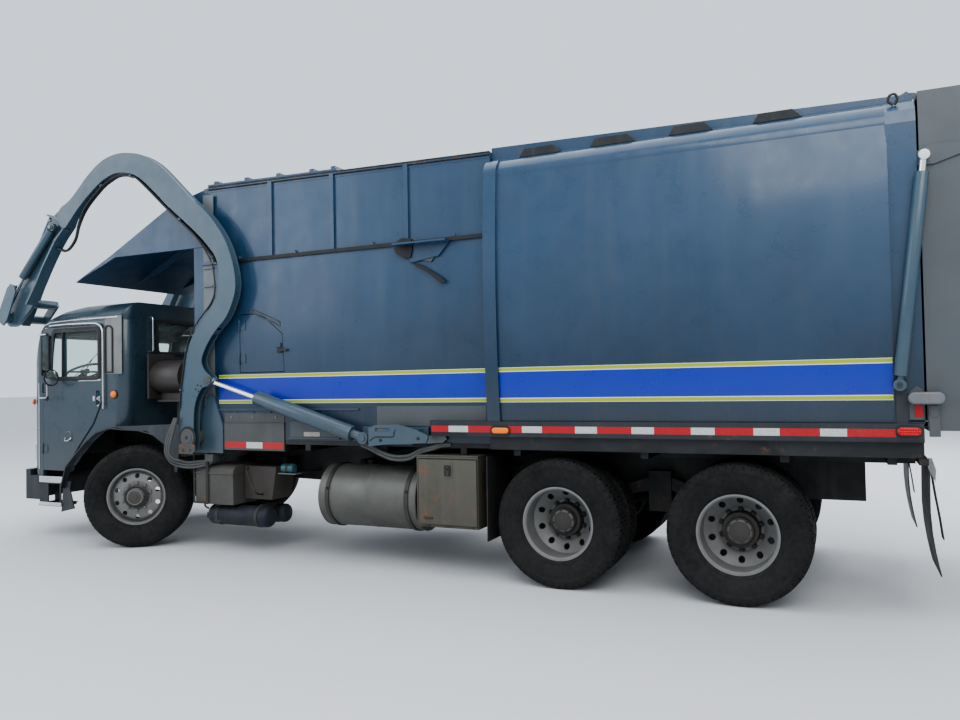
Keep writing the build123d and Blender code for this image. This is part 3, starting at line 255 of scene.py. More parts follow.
# lighter, warmer slate: on the tailgate, its lugs and gussets it is painted light for the sun on the same slate paint
# as the body; on the hopper's lower patch it is a worn plate
M["faded_and_sunlit"] = surface("body_paint_faded", (0.070, 0.082, 0.092), 0.42, var=0.12, dirt=0.30, dirt_z=(1.2, 1.9),
                     dust=0.25, streak=0.25, scratch=0.10, wobble=0.18, coat=0.1)
# sill: the near-black dirt colour is painted shade mixed with road dirt, and shade= darkens the web under the tape
# further as painted shade
M["sill"] = surface("sill_paint", (0.016, 0.021, 0.028), 0.5, dirt=0.9, dirt_z=(1.18, 1.27), dust=0.12, rust=0.02,
                    streak=0.1, dirt_color=(0.008, 0.009, 0.010), shade=(1.20, 1.24, 0.30, 1.0), extra=tape(1.2385))
M["dark"] = surface("dark_interior", (0.014, 0.016, 0.019), 0.6, dirt=0.3, dust=0.25, rust=0.25, scratch=0.15)
# near-black, used on the roof scoops: painted shade
M["shield"] = surface("scoop_painted_shade", (0.012, 0.014, 0.017), 0.6, dust=0.15, dirt=0.1, scratch=0.1, rust=0.02)
M["arm"] = surface("arm_paint", ARMC, 0.34, var=0.12, dirt=0.45, dirt_z=(0.9, 1.7), dust=0.20, streak=0.12,
                   scratch=0.18, rust=0.03, coat=0.2)
M["armlow"] = surface("arm_paint_low", (0.052, 0.062, 0.072), 0.48, var=0.2, dirt=0.75, dirt_z=(0.9, 1.8), dust=0.3,
                      rust=0.12, scratch=0.15)
M["armrust"] = surface("arm_rusty", (0.060, 0.058, 0.056), 0.65, var=0.25, dirt=0.5, dirt_z=(0.9, 1.3), dust=0.3,
                       rust=0.55, scale=9.0)
M["frame"] = surface("frame_paint", (0.010, 0.011, 0.012), 0.62, dirt=0.6, dirt_z=(0.2, 1.3), dust=0.25, rust=0.08,
                     dirt_color=(0.045, 0.040, 0.034))
M["dirty"] = surface("dirty_steel", (0.020, 0.020, 0.020), 0.72, dirt=0.7, dirt_z=(0.1, 1.4), dust=0.35, rust=0.14,
                     dirt_color=(0.055, 0.048, 0.040))
M["rim"] = surface("wheel_white", (0.185, 0.190, 0.190), 0.45, var=0.16, scale=7.0, dirt=0.60, dirt_z=(0.0, 1.1),
                   dust=0.55, streak=0.0, rust=0.07, bump=0.3, dirt_color=(0.085, 0.075, 0.062))
M["rimdark"] = surface("hub_dirty", (0.040, 0.037, 0.034), 0.68, var=0.2, scale=9.0, dirt=0.6, dirt_z=(0.0, 1.1),
                       dust=0.2, rust=0.10, dirt_color=(0.035, 0.030, 0.025))
M["hub"] = surface("hub_black", (0.012, 0.012, 0.013), 0.55, dust=0.30, dirt=0.3)
M["cap"] = surface("hub_cap", (0.040, 0.036, 0.032), 0.5, dust=0.45, dirt=0.3, rust=0.1, scale=9.0)
M["nut"] = surface("nut_steel", (0.24, 0.23, 0.21), 0.45, metal=0.5, dust=0.5, rust=0.12, scale=14.0)
M["tool"] = surface("box_cream", (0.082, 0.078, 0.060), 0.62, var=0.25, scale=3.2, dirt=0.70, dirt_z=(0.3, 1.0),
                    dust=0.45, streak=0.75, rust=0.30, scratch=0.2, dirt_color=(0.040, 0.034, 0.026))
M["battery"] = surface("box_grey", (0.070, 0.070, 0.062), 0.58, var=0.25, dirt=0.70, dirt_z=(0.3, 1.0), dust=0.4,
                       streak=0.4, rust=0.14, dirt_color=(0.035, 0.031, 0.026))
M["batteryend"] = surface("box_brown", (0.050, 0.043, 0.038), 0.62, var=0.25, dirt=0.70, dirt_z=(0.3, 1.0), dust=0.3,
                          streak=0.3, rust=0.20, dirt_color=(0.025, 0.022, 0.018))
M["tank"] = surface("tank_aluminium", (0.155, 0.158, 0.145), 0.42, metal=0.5, var=0.22, scale=2.6, dirt=0.85,
                    dirt_z=(0.25, 0.95), dust=0.60, streak=0.3, scratch=0.2, dirt_color=(0.045, 0.040, 0.034))
M["strap"] = surface("strap_steel", (0.035, 0.035, 0.035), 0.50, metal=0.4, dust=0.4, rust=0.10)
M["tankblue"] = surface("reservoir_blue", (0.010, 0.016, 0.030), 0.6, dust=0.25, spec=0.3, dirt=0.6, dirt_z=(0.1, 0.6),
                        dirt_color=(0.035, 0.032, 0.028))
M["teal"] = surface("separator_teal", (0.012, 0.095, 0.120), 0.35, dust=0.25, dirt=0.2)
M["chrome"] = surface("rod_chrome", (0.82, 0.83, 0.84), 0.10, metal=1.0, var=0.05, dirt=0.0, dust=0.06, streak=0.0,
                      bump=0.04, orange=0.0)
M["bright"] = surface("bright_trim", (0.64, 0.65, 0.66), 0.20, metal=1.0, var=0.1, dirt=0.0, dust=0.20, streak=0.1,
                      bump=0.1)
M["bare"] = surface("bare_sheet", (0.20, 0.205, 0.20), 0.40, metal=0.45, var=0.2, dirt=0.2, dust=0.4, streak=0.5,
                    scratch=0.25, scale=5.0)
M["light"] = surface("light_grey", (0.145, 0.158, 0.172), 0.45, var=0.14, dirt=0.3, dust=0.25, streak=0.30, rust=0.05)
M["sidebox"] = surface("side_box_grey", (0.058, 0.068, 0.070), 0.48, var=0.25, scale=3.5, dirt=0.45,
                       dirt_z=(1.0, 1.4), dust=0.3, streak=0.5, rust=0.06)
M["fender"] = surface("fender_paint", (0.016, 0.024, 0.033), 0.42, dust=0.2, dirt=0.55, dirt_z=(0.5, 1.2),
                      dirt_color=(0.012, 0.012, 0.012))
M["bumper"] = surface("bumper_paint", (0.015, 0.022, 0.030), 0.42, dust=0.14, dirt=0.4, dirt_z=(0.4, 1.0),
                      dirt_color=(0.018, 0.018, 0.018))
M["step"] = surface("step_steel", (0.020, 0.024, 0.028), 0.55, dust=0.15, dirt=0.4, dirt_z=(0.3, 1.0), rust=0.05,
                    dirt_color=(0.018, 0.018, 0.018))
M["tapered"] = surface("tape_red", (0.44, 0.010, 0.014), 0.4, dust=0.2, dirt=0.2, streak=0.1)
M["tapewhite"] = surface("tape_white", (0.50, 0.51, 0.50), 0.4, dust=0.2, dirt=0.2, streak=0.1)
M["cream"] = surface("cream_paint", (0.40, 0.38, 0.33), 0.45, var=0.12, dirt=0.25, dirt_z=(1.2, 2.4), dust=0.3,
                     streak=0.35, rust=0.05)
M["canister"] = surface("canister_brown", (0.046, 0.040, 0.038), 0.42, dust=0.3, dirt=0.2, dirt_z=(1.4, 2.2))
M["slategrey"] = surface("bracket_slate", (0.060, 0.072, 0.085), 0.45, dust=0.25, dirt=0.2, dirt_z=(0.9, 2.2))
M["amber"] = surface("amber_lens", (0.90, 0.20, 0.008), 0.18, dust=0.05, dirt=0.0, streak=0.0, var=0.08, bump=0.1)
M["redlens"] = surface("red_lens", (0.40, 0.006, 0.008), 0.16, dust=0.06, dirt=0.0, streak=0.0, var=0.08)
M["reddot"] = surface("red_diodes", (0.95, 0.05, 0.045), 0.25, dust=0.0, dirt=0.0, streak=0.0, var=0.05)
M["lime"] = surface("lime_patch", (0.40, 0.50, 0.09), 0.4, dust=0.1, dirt=0.0, streak=0.0)
M["whitelens"] = surface("clear_lens", (0.70, 0.72, 0.74), 0.10, dust=0.06, dirt=0.0, streak=0.0, var=0.05)
M["trim"] = surface("moulded_trim", (0.014, 0.016, 0.019), 0.45, var=0.08, dirt=0.2, dust=0.15, streak=0.05,
                    bump=0.4)
M["dash"] = surface("dash_vinyl", (0.050, 0.048, 0.046), 0.62, var=0.1, dirt=0.0, dust=0.3, streak=0.0, bump=0.7)
M["floor"] = surface("floor_mat", (0.035, 0.035, 0.036), 0.8, var=0.2, dirt=0.4, dirt_z=(0.9, 1.4), dust=0.5,
                     streak=0.0, bump=0.8)
M["hose"] = surface("hose_rubber", (0.010, 0.010, 0.011), 0.45, dust=0.25, dirt=0.3, dirt_z=(0.5, 1.6), streak=0.0)
M["hosegrey"] = surface("hose_sleeve", (0.075, 0.080, 0.080), 0.6, dust=0.4, dirt=0.4, dirt_z=(0.5, 1.4), streak=0.0,
                        scale=9.0, var=0.3, bump=0.8)
M["gasket"] = surface("gasket_rubber", (0.007, 0.007, 0.008), 0.5, dust=0.15, dirt=0.3, dirt_z=(0.5, 1.5),
                      streak=0.0)
M["flap"] = surface("flap_rubber", (0.012, 0.012, 0.013), 0.60, dust=0.35, dirt=0.5, dirt_z=(0.2, 1.1), streak=0.3,
                    dirt_color=(0.05, 0.045, 0.038))
M["plate"] = surface("number_plate", (0.60, 0.61, 0.60), 0.35, dust=0.3, dirt=0.3, dirt_z=(0.4, 1.0))


def rubber(name):
    """Tyre: dark worn rubber, dusty towards the tread and pale dried mud."""
    g = Graph(name)
    base = g.mix(g.remap(g.noise(9.0, 6.0), 0.3, 0.7), (0.005, 0.005, 0.006), (0.012, 0.012, 0.013))
    dust = g.remap(g.noise(2.6, 8.0, rough=0.7), 0.38, 0.72)
    base = g.mix(g.math("MULTIPLY", dust, 0.28), base, (0.045, 0.042, 0.037))
    low = g.remap(g.z, 0.75, 0.0)
    base = g.mix(g.math("MULTIPLY", g.math("MULTIPLY", low, g.noise(14.0, 6.0)), 0.4), base, (0.045, 0.042, 0.038))
    g.link(base, g.bsdf.inputs["Base Color"])
    g.link(g.remap(g.noise(30.0, 5.0), 0.3, 0.7, 0.62, 0.92), g.bsdf.inputs["Roughness"])
    g.bsdf.inputs["Specular IOR Level"].default_value = 0.25
    n = g.bump(g.noise(160.0, 4.0), 0.35, 0.0008)
    n = g.bump(g.noise(14.0, 4.0), 0.25, 0.003, n)
    g.link(n, g.bsdf.inputs["Normal"])
    return g.mat


M["tyre"] = rubber("tyre_rubber")


def glass(name, tint, alpha):
    g = Graph(name)
    g.bsdf.inputs["Base Color"].default_value = (*tint, 1.0)
    g.bsdf.inputs["Roughness"].default_value = 0.03
    g.bsdf.inputs["Transmission Weight"].default_value = 0.95
    g.bsdf.inputs["IOR"].default_value = 1.08
    g.bsdf.inputs["Specular IOR Level"].default_value = 0.6
    smear = g.remap(g.noise(3.0, 7.0, rough=0.7), 0.45, 0.75, 0.01, 0.07)
    g.link(smear, g.bsdf.inputs["Roughness"])
    return g.mat


M["glass"] = glass("window_glass", (0.86, 0.95, 0.92), 0.3)


def mirror_face():
    g = Graph("mirror_face")
    g.link(g.mix(g.remap(g.noise(5.0, 5.0), 0.5, 0.8), (0.82, 0.84, 0.85), (0.6, 0.6, 0.6)),
           g.bsdf.inputs["Base Color"])
    g.bsdf.inputs["Metallic"].default_value = 1.0
    g.link(g.remap(g.noise(8.0, 5.0), 0.4, 0.8, 0.02, 0.10), g.bsdf.inputs["Roughness"])
    return g.mat


M["mirror"] = mirror_face()


def cloth():
    g = Graph("seat_cloth")
    w = g.new("ShaderNodeTexWave")
    w.inputs["Scale"].default_value = 95.0
    w.inputs["Distortion"].default_value = 1.2
    w.bands_direction = "X"
    g.link(g.co, w.inputs["Vector"])
    w2 = g.new("ShaderNodeTexWave")
    w2.inputs["Scale"].default_value = 95.0
    w2.inputs["Distortion"].default_value = 1.2
    w2.bands_direction = "Y"
    g.link(g.co, w2.inputs["Vector"])
    weave = g.math("MULTIPLY", w.outputs["Fac"], w2.outputs["Fac"])
    col = g.mix(weave, (0.022, 0.023, 0.027), (0.060, 0.062, 0.070))
    col = g.mix(g.math("MULTIPLY", g.remap(g.noise(4.0, 6.0), 0.45, 0.75), 0.5), col, (0.09, 0.085, 0.075))
    g.link(col, g.bsdf.inputs["Base Color"])
    g.link(g.remap(g.noise(20.0, 4.0), 0.3, 0.7, 0.85, 0.98), g.bsdf.inputs["Roughness"])
    g.bsdf.inputs["Sheen Weight"].default_value = 0.3
    g.link(g.bump(weave, 0.5, 0.0012, g.bump(g.noise(9.0, 4.0), 0.3, 0.006)), g.bsdf.inputs["Normal"])
    return g.mat


M["cloth"] = cloth()


# =============================================================================
# MESH TOOLS (millimetres in, metres out)
# =============================================================================
def smooth_loop(pts, rounds=2, keep=()):
    """Rounds the corners of a closed outline by cutting them, except those at the kept indices."""
    keep = {tuple(pts[i]) for i in keep}
    for _ in range(rounds):
        out = []
        n = len(pts)
        for i, p in enumerate(pts):
            a, b = pts[i - 1], pts[(i + 1) % n]
            if tuple(p) in keep:
                out.append(tuple(p))
                continue
            out.append((p[0] * 0.75 + a[0] * 0.25, p[1] * 0.75 + a[1] * 0.25))
            out.append((p[0] * 0.75 + b[0] * 0.25, p[1] * 0.75 + b[1] * 0.25))
        pts = out
    return pts


def fillet(pts, r, n=4):
    """Rounds every corner of a closed outline with radius r (or one radius each)."""
    out = []
    m = len(pts)
    for i, p in enumerate(pts):
        rr = r[i] if isinstance(r, (list, tuple)) else r
        a, b = Vector(pts[i - 1]), Vector(pts[(i + 1) % m])
        p = Vector(p)
        u, v = (a - p), (b - p)
        la, lb = u.length, v.length
        u.normalize()
        v.normalize()
        ang = u.angle(v)
        t = min(rr / max(math.tan(ang / 2), 1e-6), la * 0.49, lb * 0.49)
        r_real = t * math.tan(ang / 2)
        mid = (u + v)
        if mid.length < 1e-6 or rr <= 0:
            out += [tuple(p)] * (n + 1)
            continue
        mid.normalize()
        c = p + mid * (r_real / sin(ang / 2))
        s, e = p + u * t - c, p + v * t - c
        sweep = pi - ang
        sign = 1 if s.x * e.y - s.y * e.x > 0 else -1
        for k in range(n + 1):
            q = sign * sweep * k / n
            out.append((c.x + s.x * cos(q) - s.y * sin(q), c.y + s.x * sin(q) + s.y * cos(q)))
    return out


def inset(pts, d):
    """Moves a closed outline inwards by d (outwards when negative), mitred."""
    area = sum(pts[i - 1][0] * p[1] - p[0] * pts[i - 1][1] for i, p in enumerate(pts))
    s = 1 if area > 0 else -1
    out = []
    m = len(pts)
    for i, p in enumerate(pts):
        a, b = Vector(pts[i - 1]), Vector(pts[(i + 1) % m])
        p = Vector(p)
        e1, e2 = (p - a).normalized(), (b - p).normalized()
        n1, n2 = Vector((-e1.y, e1.x)) * s, Vector((-e2.y, e2.x)) * s
        k = n1 + n2
        k = k / max(k.dot(n1), 0.2) if k.length > 1e-6 else n1
        out.append((p.x + k.x * d, p.y + k.y * d))
    return out


class Mesh:
    """Collects solids in millimetres and turns them into one piece."""

    def __init__(self):
        self.bm = bmesh.new()

    def loops(self, rings, cap=True, closed=True):
        """Skin through rings of equal length."""
        vs = [[self.bm.verts.new(p) for p in ring] for ring in rings]
        n = len(vs[0])
        for a, b in zip(vs, vs[1:]):
            for i in range(n if closed else n - 1):
                j = (i + 1) % n
                try:
                    self.bm.faces.new((a[i], a[j], b[j], b[i]))
                except ValueError:
                    pass
        if cap:
            self.bm.faces.new(vs[0][::-1])
            self.bm.faces.new(vs[-1])
        return vs

    def side(self, pts, x0, x1):
        """Prism of a (y, z) outline between x0 and x1."""
        self.loops([[P(x, y, z) for y, z in pts] for x in (x0, x1)])

    def plan(self, pts, z0, z1):
        self.loops([[P(x, y, z) for x, y in pts] for z in (z0, z1)])

    def front(self, pts, y0, y1):
        self.loops([[P(x, y, z) for x, z in pts] for y in (y0, y1)])

    def box(self, x, y, z):
        self.loops([[P(xx, y[0], z[0]), P(xx, y[1], z[0]), P(xx, y[1], z[1]), P(xx, y[0], z[1])] for xx in x])

    def frame_side(self, outer, inner, x0, x1):
        """Ring between two (y, z) outlines of equal count, from x0 to x1."""
        rings = []
        for loop, x in ((outer, x0), (outer, x1), (inner, x1), (inner, x0), (outer, x0)):
            rings.append([self.bm.verts.new(P(x, y, z)) for y, z in loop])
        n = len(outer)
        for a, b in zip(rings, rings[1:]):
            for i in range(n):
                j = (i + 1) % n
                self.bm.faces.new((a[i], a[j], b[j], b[i]))

    def frame_front(self, outer, inner, y0, y1):
        rings = []
        for loop, y in ((outer, y0), (outer, y1), (inner, y1), (inner, y0), (outer, y0)):
            rings.append([self.bm.verts.new(P(x, y, z)) for x, z in loop])
        n = len(outer)
        for a, b in zip(rings, rings[1:]):
            for i in range(n):
                j = (i + 1) % n
                self.bm.faces.new((a[i], a[j], b[j], b[i]))

    def cyl(self, a, b, r, segs=24, r2=None, chamfer=0.0):
        """Cylinder or cone between two points given in millimetres."""
        a, b = P(*a), P(*b)
        d = (b - a)
        length = d.length
        d.normalize()
        u = d.orthogonal().normalized()
        v = d.cross(u)
        r /= 1000.0
        r2 = r if r2 is None else r2 / 1000.0
        c = chamfer / 1000.0
        rings = []
        stations = [(0, r), (length, r2)] if not c else [(0, r - c), (c, r), (length - c, r2), (length, r2 - c)]
        for t, q in stations:
            rings.append([a + d * t + (u * cos(2 * pi * i / segs) + v * sin(2 * pi * i / segs)) * q
                          for i in range(segs)])
        self.loops(rings)

    def lathe(self, origin, axis, profile, segs=48, closed=False):
        """(distance along axis, radius) profile in millimetres turned round the axis through origin."""
        o = P(*origin)
        d = Vector(axis).normalized()
        u = d.orthogonal().normalized()
        v = d.cross(u)
        grid = []
        for t, r in profile:
            grid.append([self.bm.verts.new(o + d * (t / 1000.0) + (u * cos(2 * pi * i / segs) +
                         v * sin(2 * pi * i / segs)) * (r / 1000.0)) for i in range(segs)])
        pairs = list(zip(grid, grid[1:]))
        if closed:
            pairs.append((grid[-1], grid[0]))
        for a, b in pairs:
            for i in range(segs):
                j = (i + 1) % segs
                self.bm.faces.new((a[i], a[j], b[j], b[i]))
        if not closed:
            if profile[0][1] > 0.01:
                self.bm.faces.new(grid[0][::-1])
            if profile[-1][1] > 0.01:
                self.bm.faces.new(grid[-1])

    def bolt(self, at, axis, r=11.0, h=9.0, washer=True):
        """Hexagon head on a washer at a point, standing along axis."""
        d = Vector(axis).normalized()
        a = Vector(at)
        if washer:
            self.cyl(tuple(a), tuple(a + d * (h * 0.22)), r * 1.45, 16)
        b = a + d * (h * 0.2)
        self.cyl(tuple(b), tuple(b + d * h), r, 6, r2=r * 0.96)

    def rivet(self, at, axis, r=5.0):
        d = Vector(axis).normalized()
        a = Vector(at)
        self.cyl(tuple(a), tuple(a + d * (r * 0.45)), r, 8, r2=r * 0.55)

    def tube(self, pts, r, segs=10, samples=8, closed=False):
        """Smooth tube of radius r through points given in millimetres."""
        pts = [P(*p) for p in pts]
        line = []
        m = len(pts)
        for i in range(m - 1):
            p0, p1, p2, p3 = pts[max(i - 1, 0)], pts[i], pts[i + 1], pts[min(i + 2, m - 1)]
            for k in range(samples):
                t = k / samples
                line.append(0.5 * ((2 * p1) + (p2 - p0) * t + (2 * p0 - 5 * p1 + 4 * p2 - p3) * t * t +
                                   (3 * p1 - p0 - 3 * p2 + p3) * t ** 3))
        line.append(pts[-1])
        d = (line[1] - line[0]).normalized()
        u = d.orthogonal().normalized()
        rings = []
        for i, p in enumerate(line):
            e = (line[min(i + 1, len(line) - 1)] - line[max(i - 1, 0)]).normalized()
            u = (u - e * u.dot(e)).normalized()
            v = e.cross(u)
            rings.append([p + (u * cos(2 * pi * k / segs) + v * sin(2 * pi * k / segs)) * (r / 1000.0)
                          for k in range(segs)])
        self.loops(rings)

    def place(self, matrix):
        bmesh.ops.transform(self.bm, matrix=matrix, verts=self.bm.verts)
        return self

    def done(self, name, mat, body="root", bevel=0.0, segs=2, angle=32.0, replaces=(), weld=True):
        if weld:
            bmesh.ops.remove_doubles(self.bm, verts=self.bm.verts, dist=0.00002)
        bmesh.ops.recalc_face_normals(self.bm, faces=self.bm.faces)
        me = bpy.data.meshes.new(name)
        self.bm.to_mesh(me)
        self.bm.free()
        for p in me.polygons:
            p.use_smooth = True
        me.set_sharp_from_angle(angle=math.radians(angle))
        o = bpy.data.objects.new(name, me)
        SC.collection.objects.link(o)
        me.materials.append(M[mat])
        if bevel:
            b = o.modifiers.new("edge", "BEVEL")
            b.width = bevel / 1000.0
            b.segments = segs
            b.limit_method = "ANGLE"
            b.angle_limit = math.radians(angle)
            b.harden_normals = True
            b.use_clamp_overlap = True
        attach(o, body)
        if replaces:
            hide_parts(*replaces)
        return o


def keep(mat, *names, bevel=0.0):
    """CAD nodes that stay: their finish, and softened edges."""
    for n in names:
        o = NODES[n]
        o.data.materials.clear()
        o.data.materials.append(M[mat])
        if bevel:
            w = o.modifiers.new("weld", "WELD")
            w.merge_threshold = 0.00002
            d = o.modifiers.new("flat", "DECIMATE")
            d.decimate_type = "DISSOLVE"
            d.angle_limit = math.radians(0.6)
            b = o.modifiers.new("edge", "BEVEL")
            b.width = bevel / 1000.0
            b.segments = 2
            b.limit_method = "ANGLE"
            b.angle_limit = math.radians(34)
            b.harden_normals = True


SIDES = ((1, "left"), (-1, "right"))

# =============================================================================
# NODES THAT KEEP THEIR SHAPE
# =============================================================================
keep("cab", "cab_front_panel", "cab_rear_panel", "cab_roof", bevel=4)
keep("cab", "cab_door_left", "cab_door_right", bevel=3)
keep("glass", "cab_glass", "door_glass_left", "door_glass_right")
keep("floor", "cab_floor")
keep("fender", "front_fenders")
keep("frame", "chassis_frame", "power_train", "leaf_springs", "axles", "steering_knuckle_left",
     "steering_knuckle_right", "seat_bases")
keep("bumper", "front_bumper", bevel=5)
keep("step", "cab_steps", bevel=2)
keep("hopper", "hopper_sides", bevel=3)
keep("hopper", "hopper_access_door", bevel=2)
keep("bodyplain", "hopper_ends", "hopper_hatch", "cab_shield", bevel=3)
keep("body", "body_sides")
keep("bodyplain", "body_roof", bevel=3)
keep("sill", "body_floor", bevel=2)
keep("dark", "packer_panel")
keep("arm", "arm_brackets", bevel=3)
keep("rim", "front_rim_left", "front_rim_right", "rear_rims_1_left", "rear_rims_1_right", "rear_rims_2_left",
     "rear_rims_2_right")
keep("dash", "dashboard")
keep("arm", "lift_cylinder_barrels", "fork_cylinder_barrels", "tailgate_cylinder_barrels", bevel=3)
keep("chrome", "lift_cylinder_rods", "fork_cylinder_rods", "tailgate_cylinder_rods")
keep("arm", "forks", bevel=5)
# tailgate in the lighter slate: painted light for the sun on it
keep("faded_and_sunlit", "tailgate", bevel=3)
keep("amber", "lamps", bevel=4)
keep("canister", "intake_and_exhaust", bevel=4)

# =============================================================================
# TYRES
# =============================================================================


def tyre(R, W, at, kind):
    """One tyre in its own frame: axle along +X, middle plane at `at`, millimetres in local space."""
    h = W / 2.0
    pitches = 62 if kind == "steer" else 52
    lanes = [0.0, 0.02, 0.13, 0.15, 0.5, 0.52, 0.63, 0.65]
    crown = lambda u: R - 7.0 * (abs(u) / (0.78 * h)) ** 2
    if kind == "steer":
        ribs = [(-0.78, -0.50), (-0.44, -0.17), (-0.11, 0.11), (0.17, 0.44), (0.50, 0.78)]
        depth, cut = 15.0, 9.0
    else:
        ribs = [(-0.78, -0.40), (-0.33, -0.04), (0.04, 0.33), (0.40, 0.78)]
        depth, cut = 18.0, 15.0
    cols = []              # (u, radius off, slot phase or None)
    for k, (a, b) in enumerate(ribs):
        ph = k % 2
        if k:
            cols.append((a * h - 1.5, depth, None))
        cols += [(a * h, 0.0, ph), ((a + b) / 2 * h, 0.0, ph), (b * h, 0.0, ph)]
        if k < len(ribs) - 1:
            cols.append((b * h + 1.5, depth, None))
    s = R - 45.0
    left = [(-0.62, 287.0), (-0.74, 292.0), (-0.84, 306.0), (-0.925, 335.0), (-0.975, 372.0), (-1.0, 0.42 * 287 + 0.58 * R - 20),
            (-0.992, R - 95.0), (-0.975, R - 70.0), (-0.985, R - 66.0), (-0.955, s), (-0.90, R - 26.0),
            (-0.83, R - 12.0)]
    rows = [(u * h, r, "wall") for u, r in left]
    rows += [(u, None, (off, ph)) for u, off, ph in cols]
    rows += [(-u * h, r, "wall") for u, r in reversed(left)]
    m = Mesh()
    ring_count = len(rows)
    rings = []
    for i in range(pitches):
        for k, t in enumerate(lanes):
            ang = 2 * pi * (i + t) / pitches
            ring = []
            for j, (u, r, tag) in enumerate(rows):
                if tag == "wall":
                    rr = r
                    if kind != "steer" and abs(abs(u) - 0.83 * h) < 0.5 and k in (1, 2):
                        rr -= cut * 0.8
                    if kind != "steer" and abs(abs(u) - 0.90 * h) < 0.5 and k in (1, 2):
                        rr -= cut * 0.5
                    if kind == "steer" and abs(abs(u) - 0.83 * h) < 0.5 and k in (1, 2):
                        rr -= cut * 0.45
                else:
                    off, ph = tag
                    rr = crown(u) - off
                    if ph == 0 and k in (1, 2) or ph == 1 and k in (5, 6):
                        rr -= cut
                ring.append(Vector(((at + u) / 1000.0, rr * cos(ang) / 1000.0, rr * sin(ang) / 1000.0)))
            rings.append(ring)
    vs = [[m.bm.verts.new(p) for p in ring] for ring in rings]
    n = len(vs)
    for i in range(n):
        a, b = vs[i], vs[(i + 1) % n]
        for j in range(ring_count):
            q = (j + 1) % ring_count
            m.bm.faces.new((a[j], a[q], b[q], b[j]))
    # two fine raised rings on each wall
    for sgn in (-1, 1):
        for rr, w in ((R - 118.0, 3.0), (322.0, 3.0)):
            uu = sgn * h * (0.998 if rr > 350 else 0.90)
            pr = [(at + uu - sgn * 6, rr - w * 1.6), (at + uu + sgn * 0.0, rr - w), (at + uu + sgn * 0.0, rr + w),
                  (at + uu - sgn * 6, rr + w * 1.6)]
            segs = 96
            gr = [[m.bm.verts.new(Vector((t / 1000.0, q * cos(2 * pi * i / segs) / 1000.0,
                                          q * sin(2 * pi * i / segs) / 1000.0))) for i in range(segs)]
                  for t, q in pr]
            for a, b in zip(gr, gr[1:]):
                for i in range(segs):
                    j = (i + 1) % segs
                    m.bm.faces.new((a[i], a[j], b[j], b[i]))
            a, b = gr[-1], gr[0]
            for i in range(segs):
                j = (i + 1) % segs
                m.bm.faces.new((a[i], a[j], b[j], b[i]))
    return m


def hub_matrix(x, y, z, turn):
    p = P(x, y, z)
    return Matrix.Translation(p) @ Matrix.Rotation(math.radians(turn), 4, "Z")


def ring_bolts(m, n, radius, at, r, h, phase=0.0, nut=True):
    for i in range(n):
        a = 2 * pi * (i + phase) / n
        p = (at, radius * cos(a) - Y0, radius * sin(a))
        if nut:
            m.cyl(p, (at + 4, p[1], p[2]), r * 1.35, 20)
            m.cyl((at + 4, p[1], p[2]), (at + 4 + h, p[1], p[2]), r, 6, r2=r * 0.97)
            m.cyl((at + 4 + h, p[1], p[2]), (at + 10 + h, p[1], p[2]), r * 0.62, 12, r2=r * 0.5)
        else:
            m.cyl(p, (at + h, p[1], p[2]), r, 20, r2=r * 0.8)


for s, tag in SIDES:
    turn = 32.0 if s > 0 else 212.0
    body = "wheel_front_" + tag
    mx = hub_matrix(s * 900, -190, 536, turn)
    tyre(536.0, 386.0, 190.0, "steer").place(mx).done("tread_front_" + tag, "tyre", body, angle=28,
                                                      replaces=("front_tyre_" + tag,), weld=False)
    m = Mesh()
    ring_bolts(m, 10, 143, 314, 17, 20, 0.5)
    m.place(mx).done("nuts_front_" + tag, "nut", body, bevel=1.2)
    m = Mesh()
    m.lathe((0, -Y0, 0), (1, 0, 0), [(350, 120), (360, 118), (364, 110), (362, 98), (356, 96)], 48)
    m.place(mx).done("hub_ring_front_" + tag, "gasket", body)
    m = Mesh()
    m.lathe((0, -Y0, 0), (1, 0, 0), [(352, 95), (362, 94), (366, 84), (392, 80), (401, 74), (406, 62), (406, 32),
                                     (410, 28), (410, 0.001)], 40)
    ring_bolts(m, 6, 87, 360, 6.5, 7, 0.0)
    m.place(mx).done("hubcap_front_" + tag, "cap", body)

for n, y in ((1, 4680), (2, 6070)):
    for s, tag in SIDES:
        turn = 0.0 if s > 0 else 180.0
        body = "wheels_rear_%d_%s" % (n, tag)
        mx = hub_matrix(s * 930, y, 525, turn)
        m = tyre(525.0, 279.0, -165.0, "drive")
        m2 = tyre(525.0, 279.0, 165.0, "drive")
        tmp = bpy.data.meshes.new("tmp")
        m2.bm.to_mesh(tmp)
        m2.bm.free()
        m.bm.from_mesh(tmp)
        bpy.data.meshes.remove(tmp)
        m.place(mx).done("tread_rear_%d_%s" % (n, tag), "tyre", body, angle=28,
                         replaces=("rear_tyres_%d_%s" % (n, tag),), weld=False)
        m = Mesh()
        ring_bolts(m, 10, 152, 12, 17, 22, 0.5)
        m.place(mx).done("nuts_rear_%d_%s" % (n, tag), "rimdark", body, bevel=1.2)
        m = Mesh()
        m.lathe((0, -Y0, 0), (1, 0, 0), [(8, 143), (60, 137), (85, 133), (90, 106), (126, 101), (132, 96), (132, 80),
                                         (146, 76), (149, 70), (149, 0.001)], 48)
        ring_bolts(m, 8, 88, 131, 8, 9, 0.25)
        m.place(mx).done("hub_rear_%d_%s" % (n, tag), "rimdark", body)

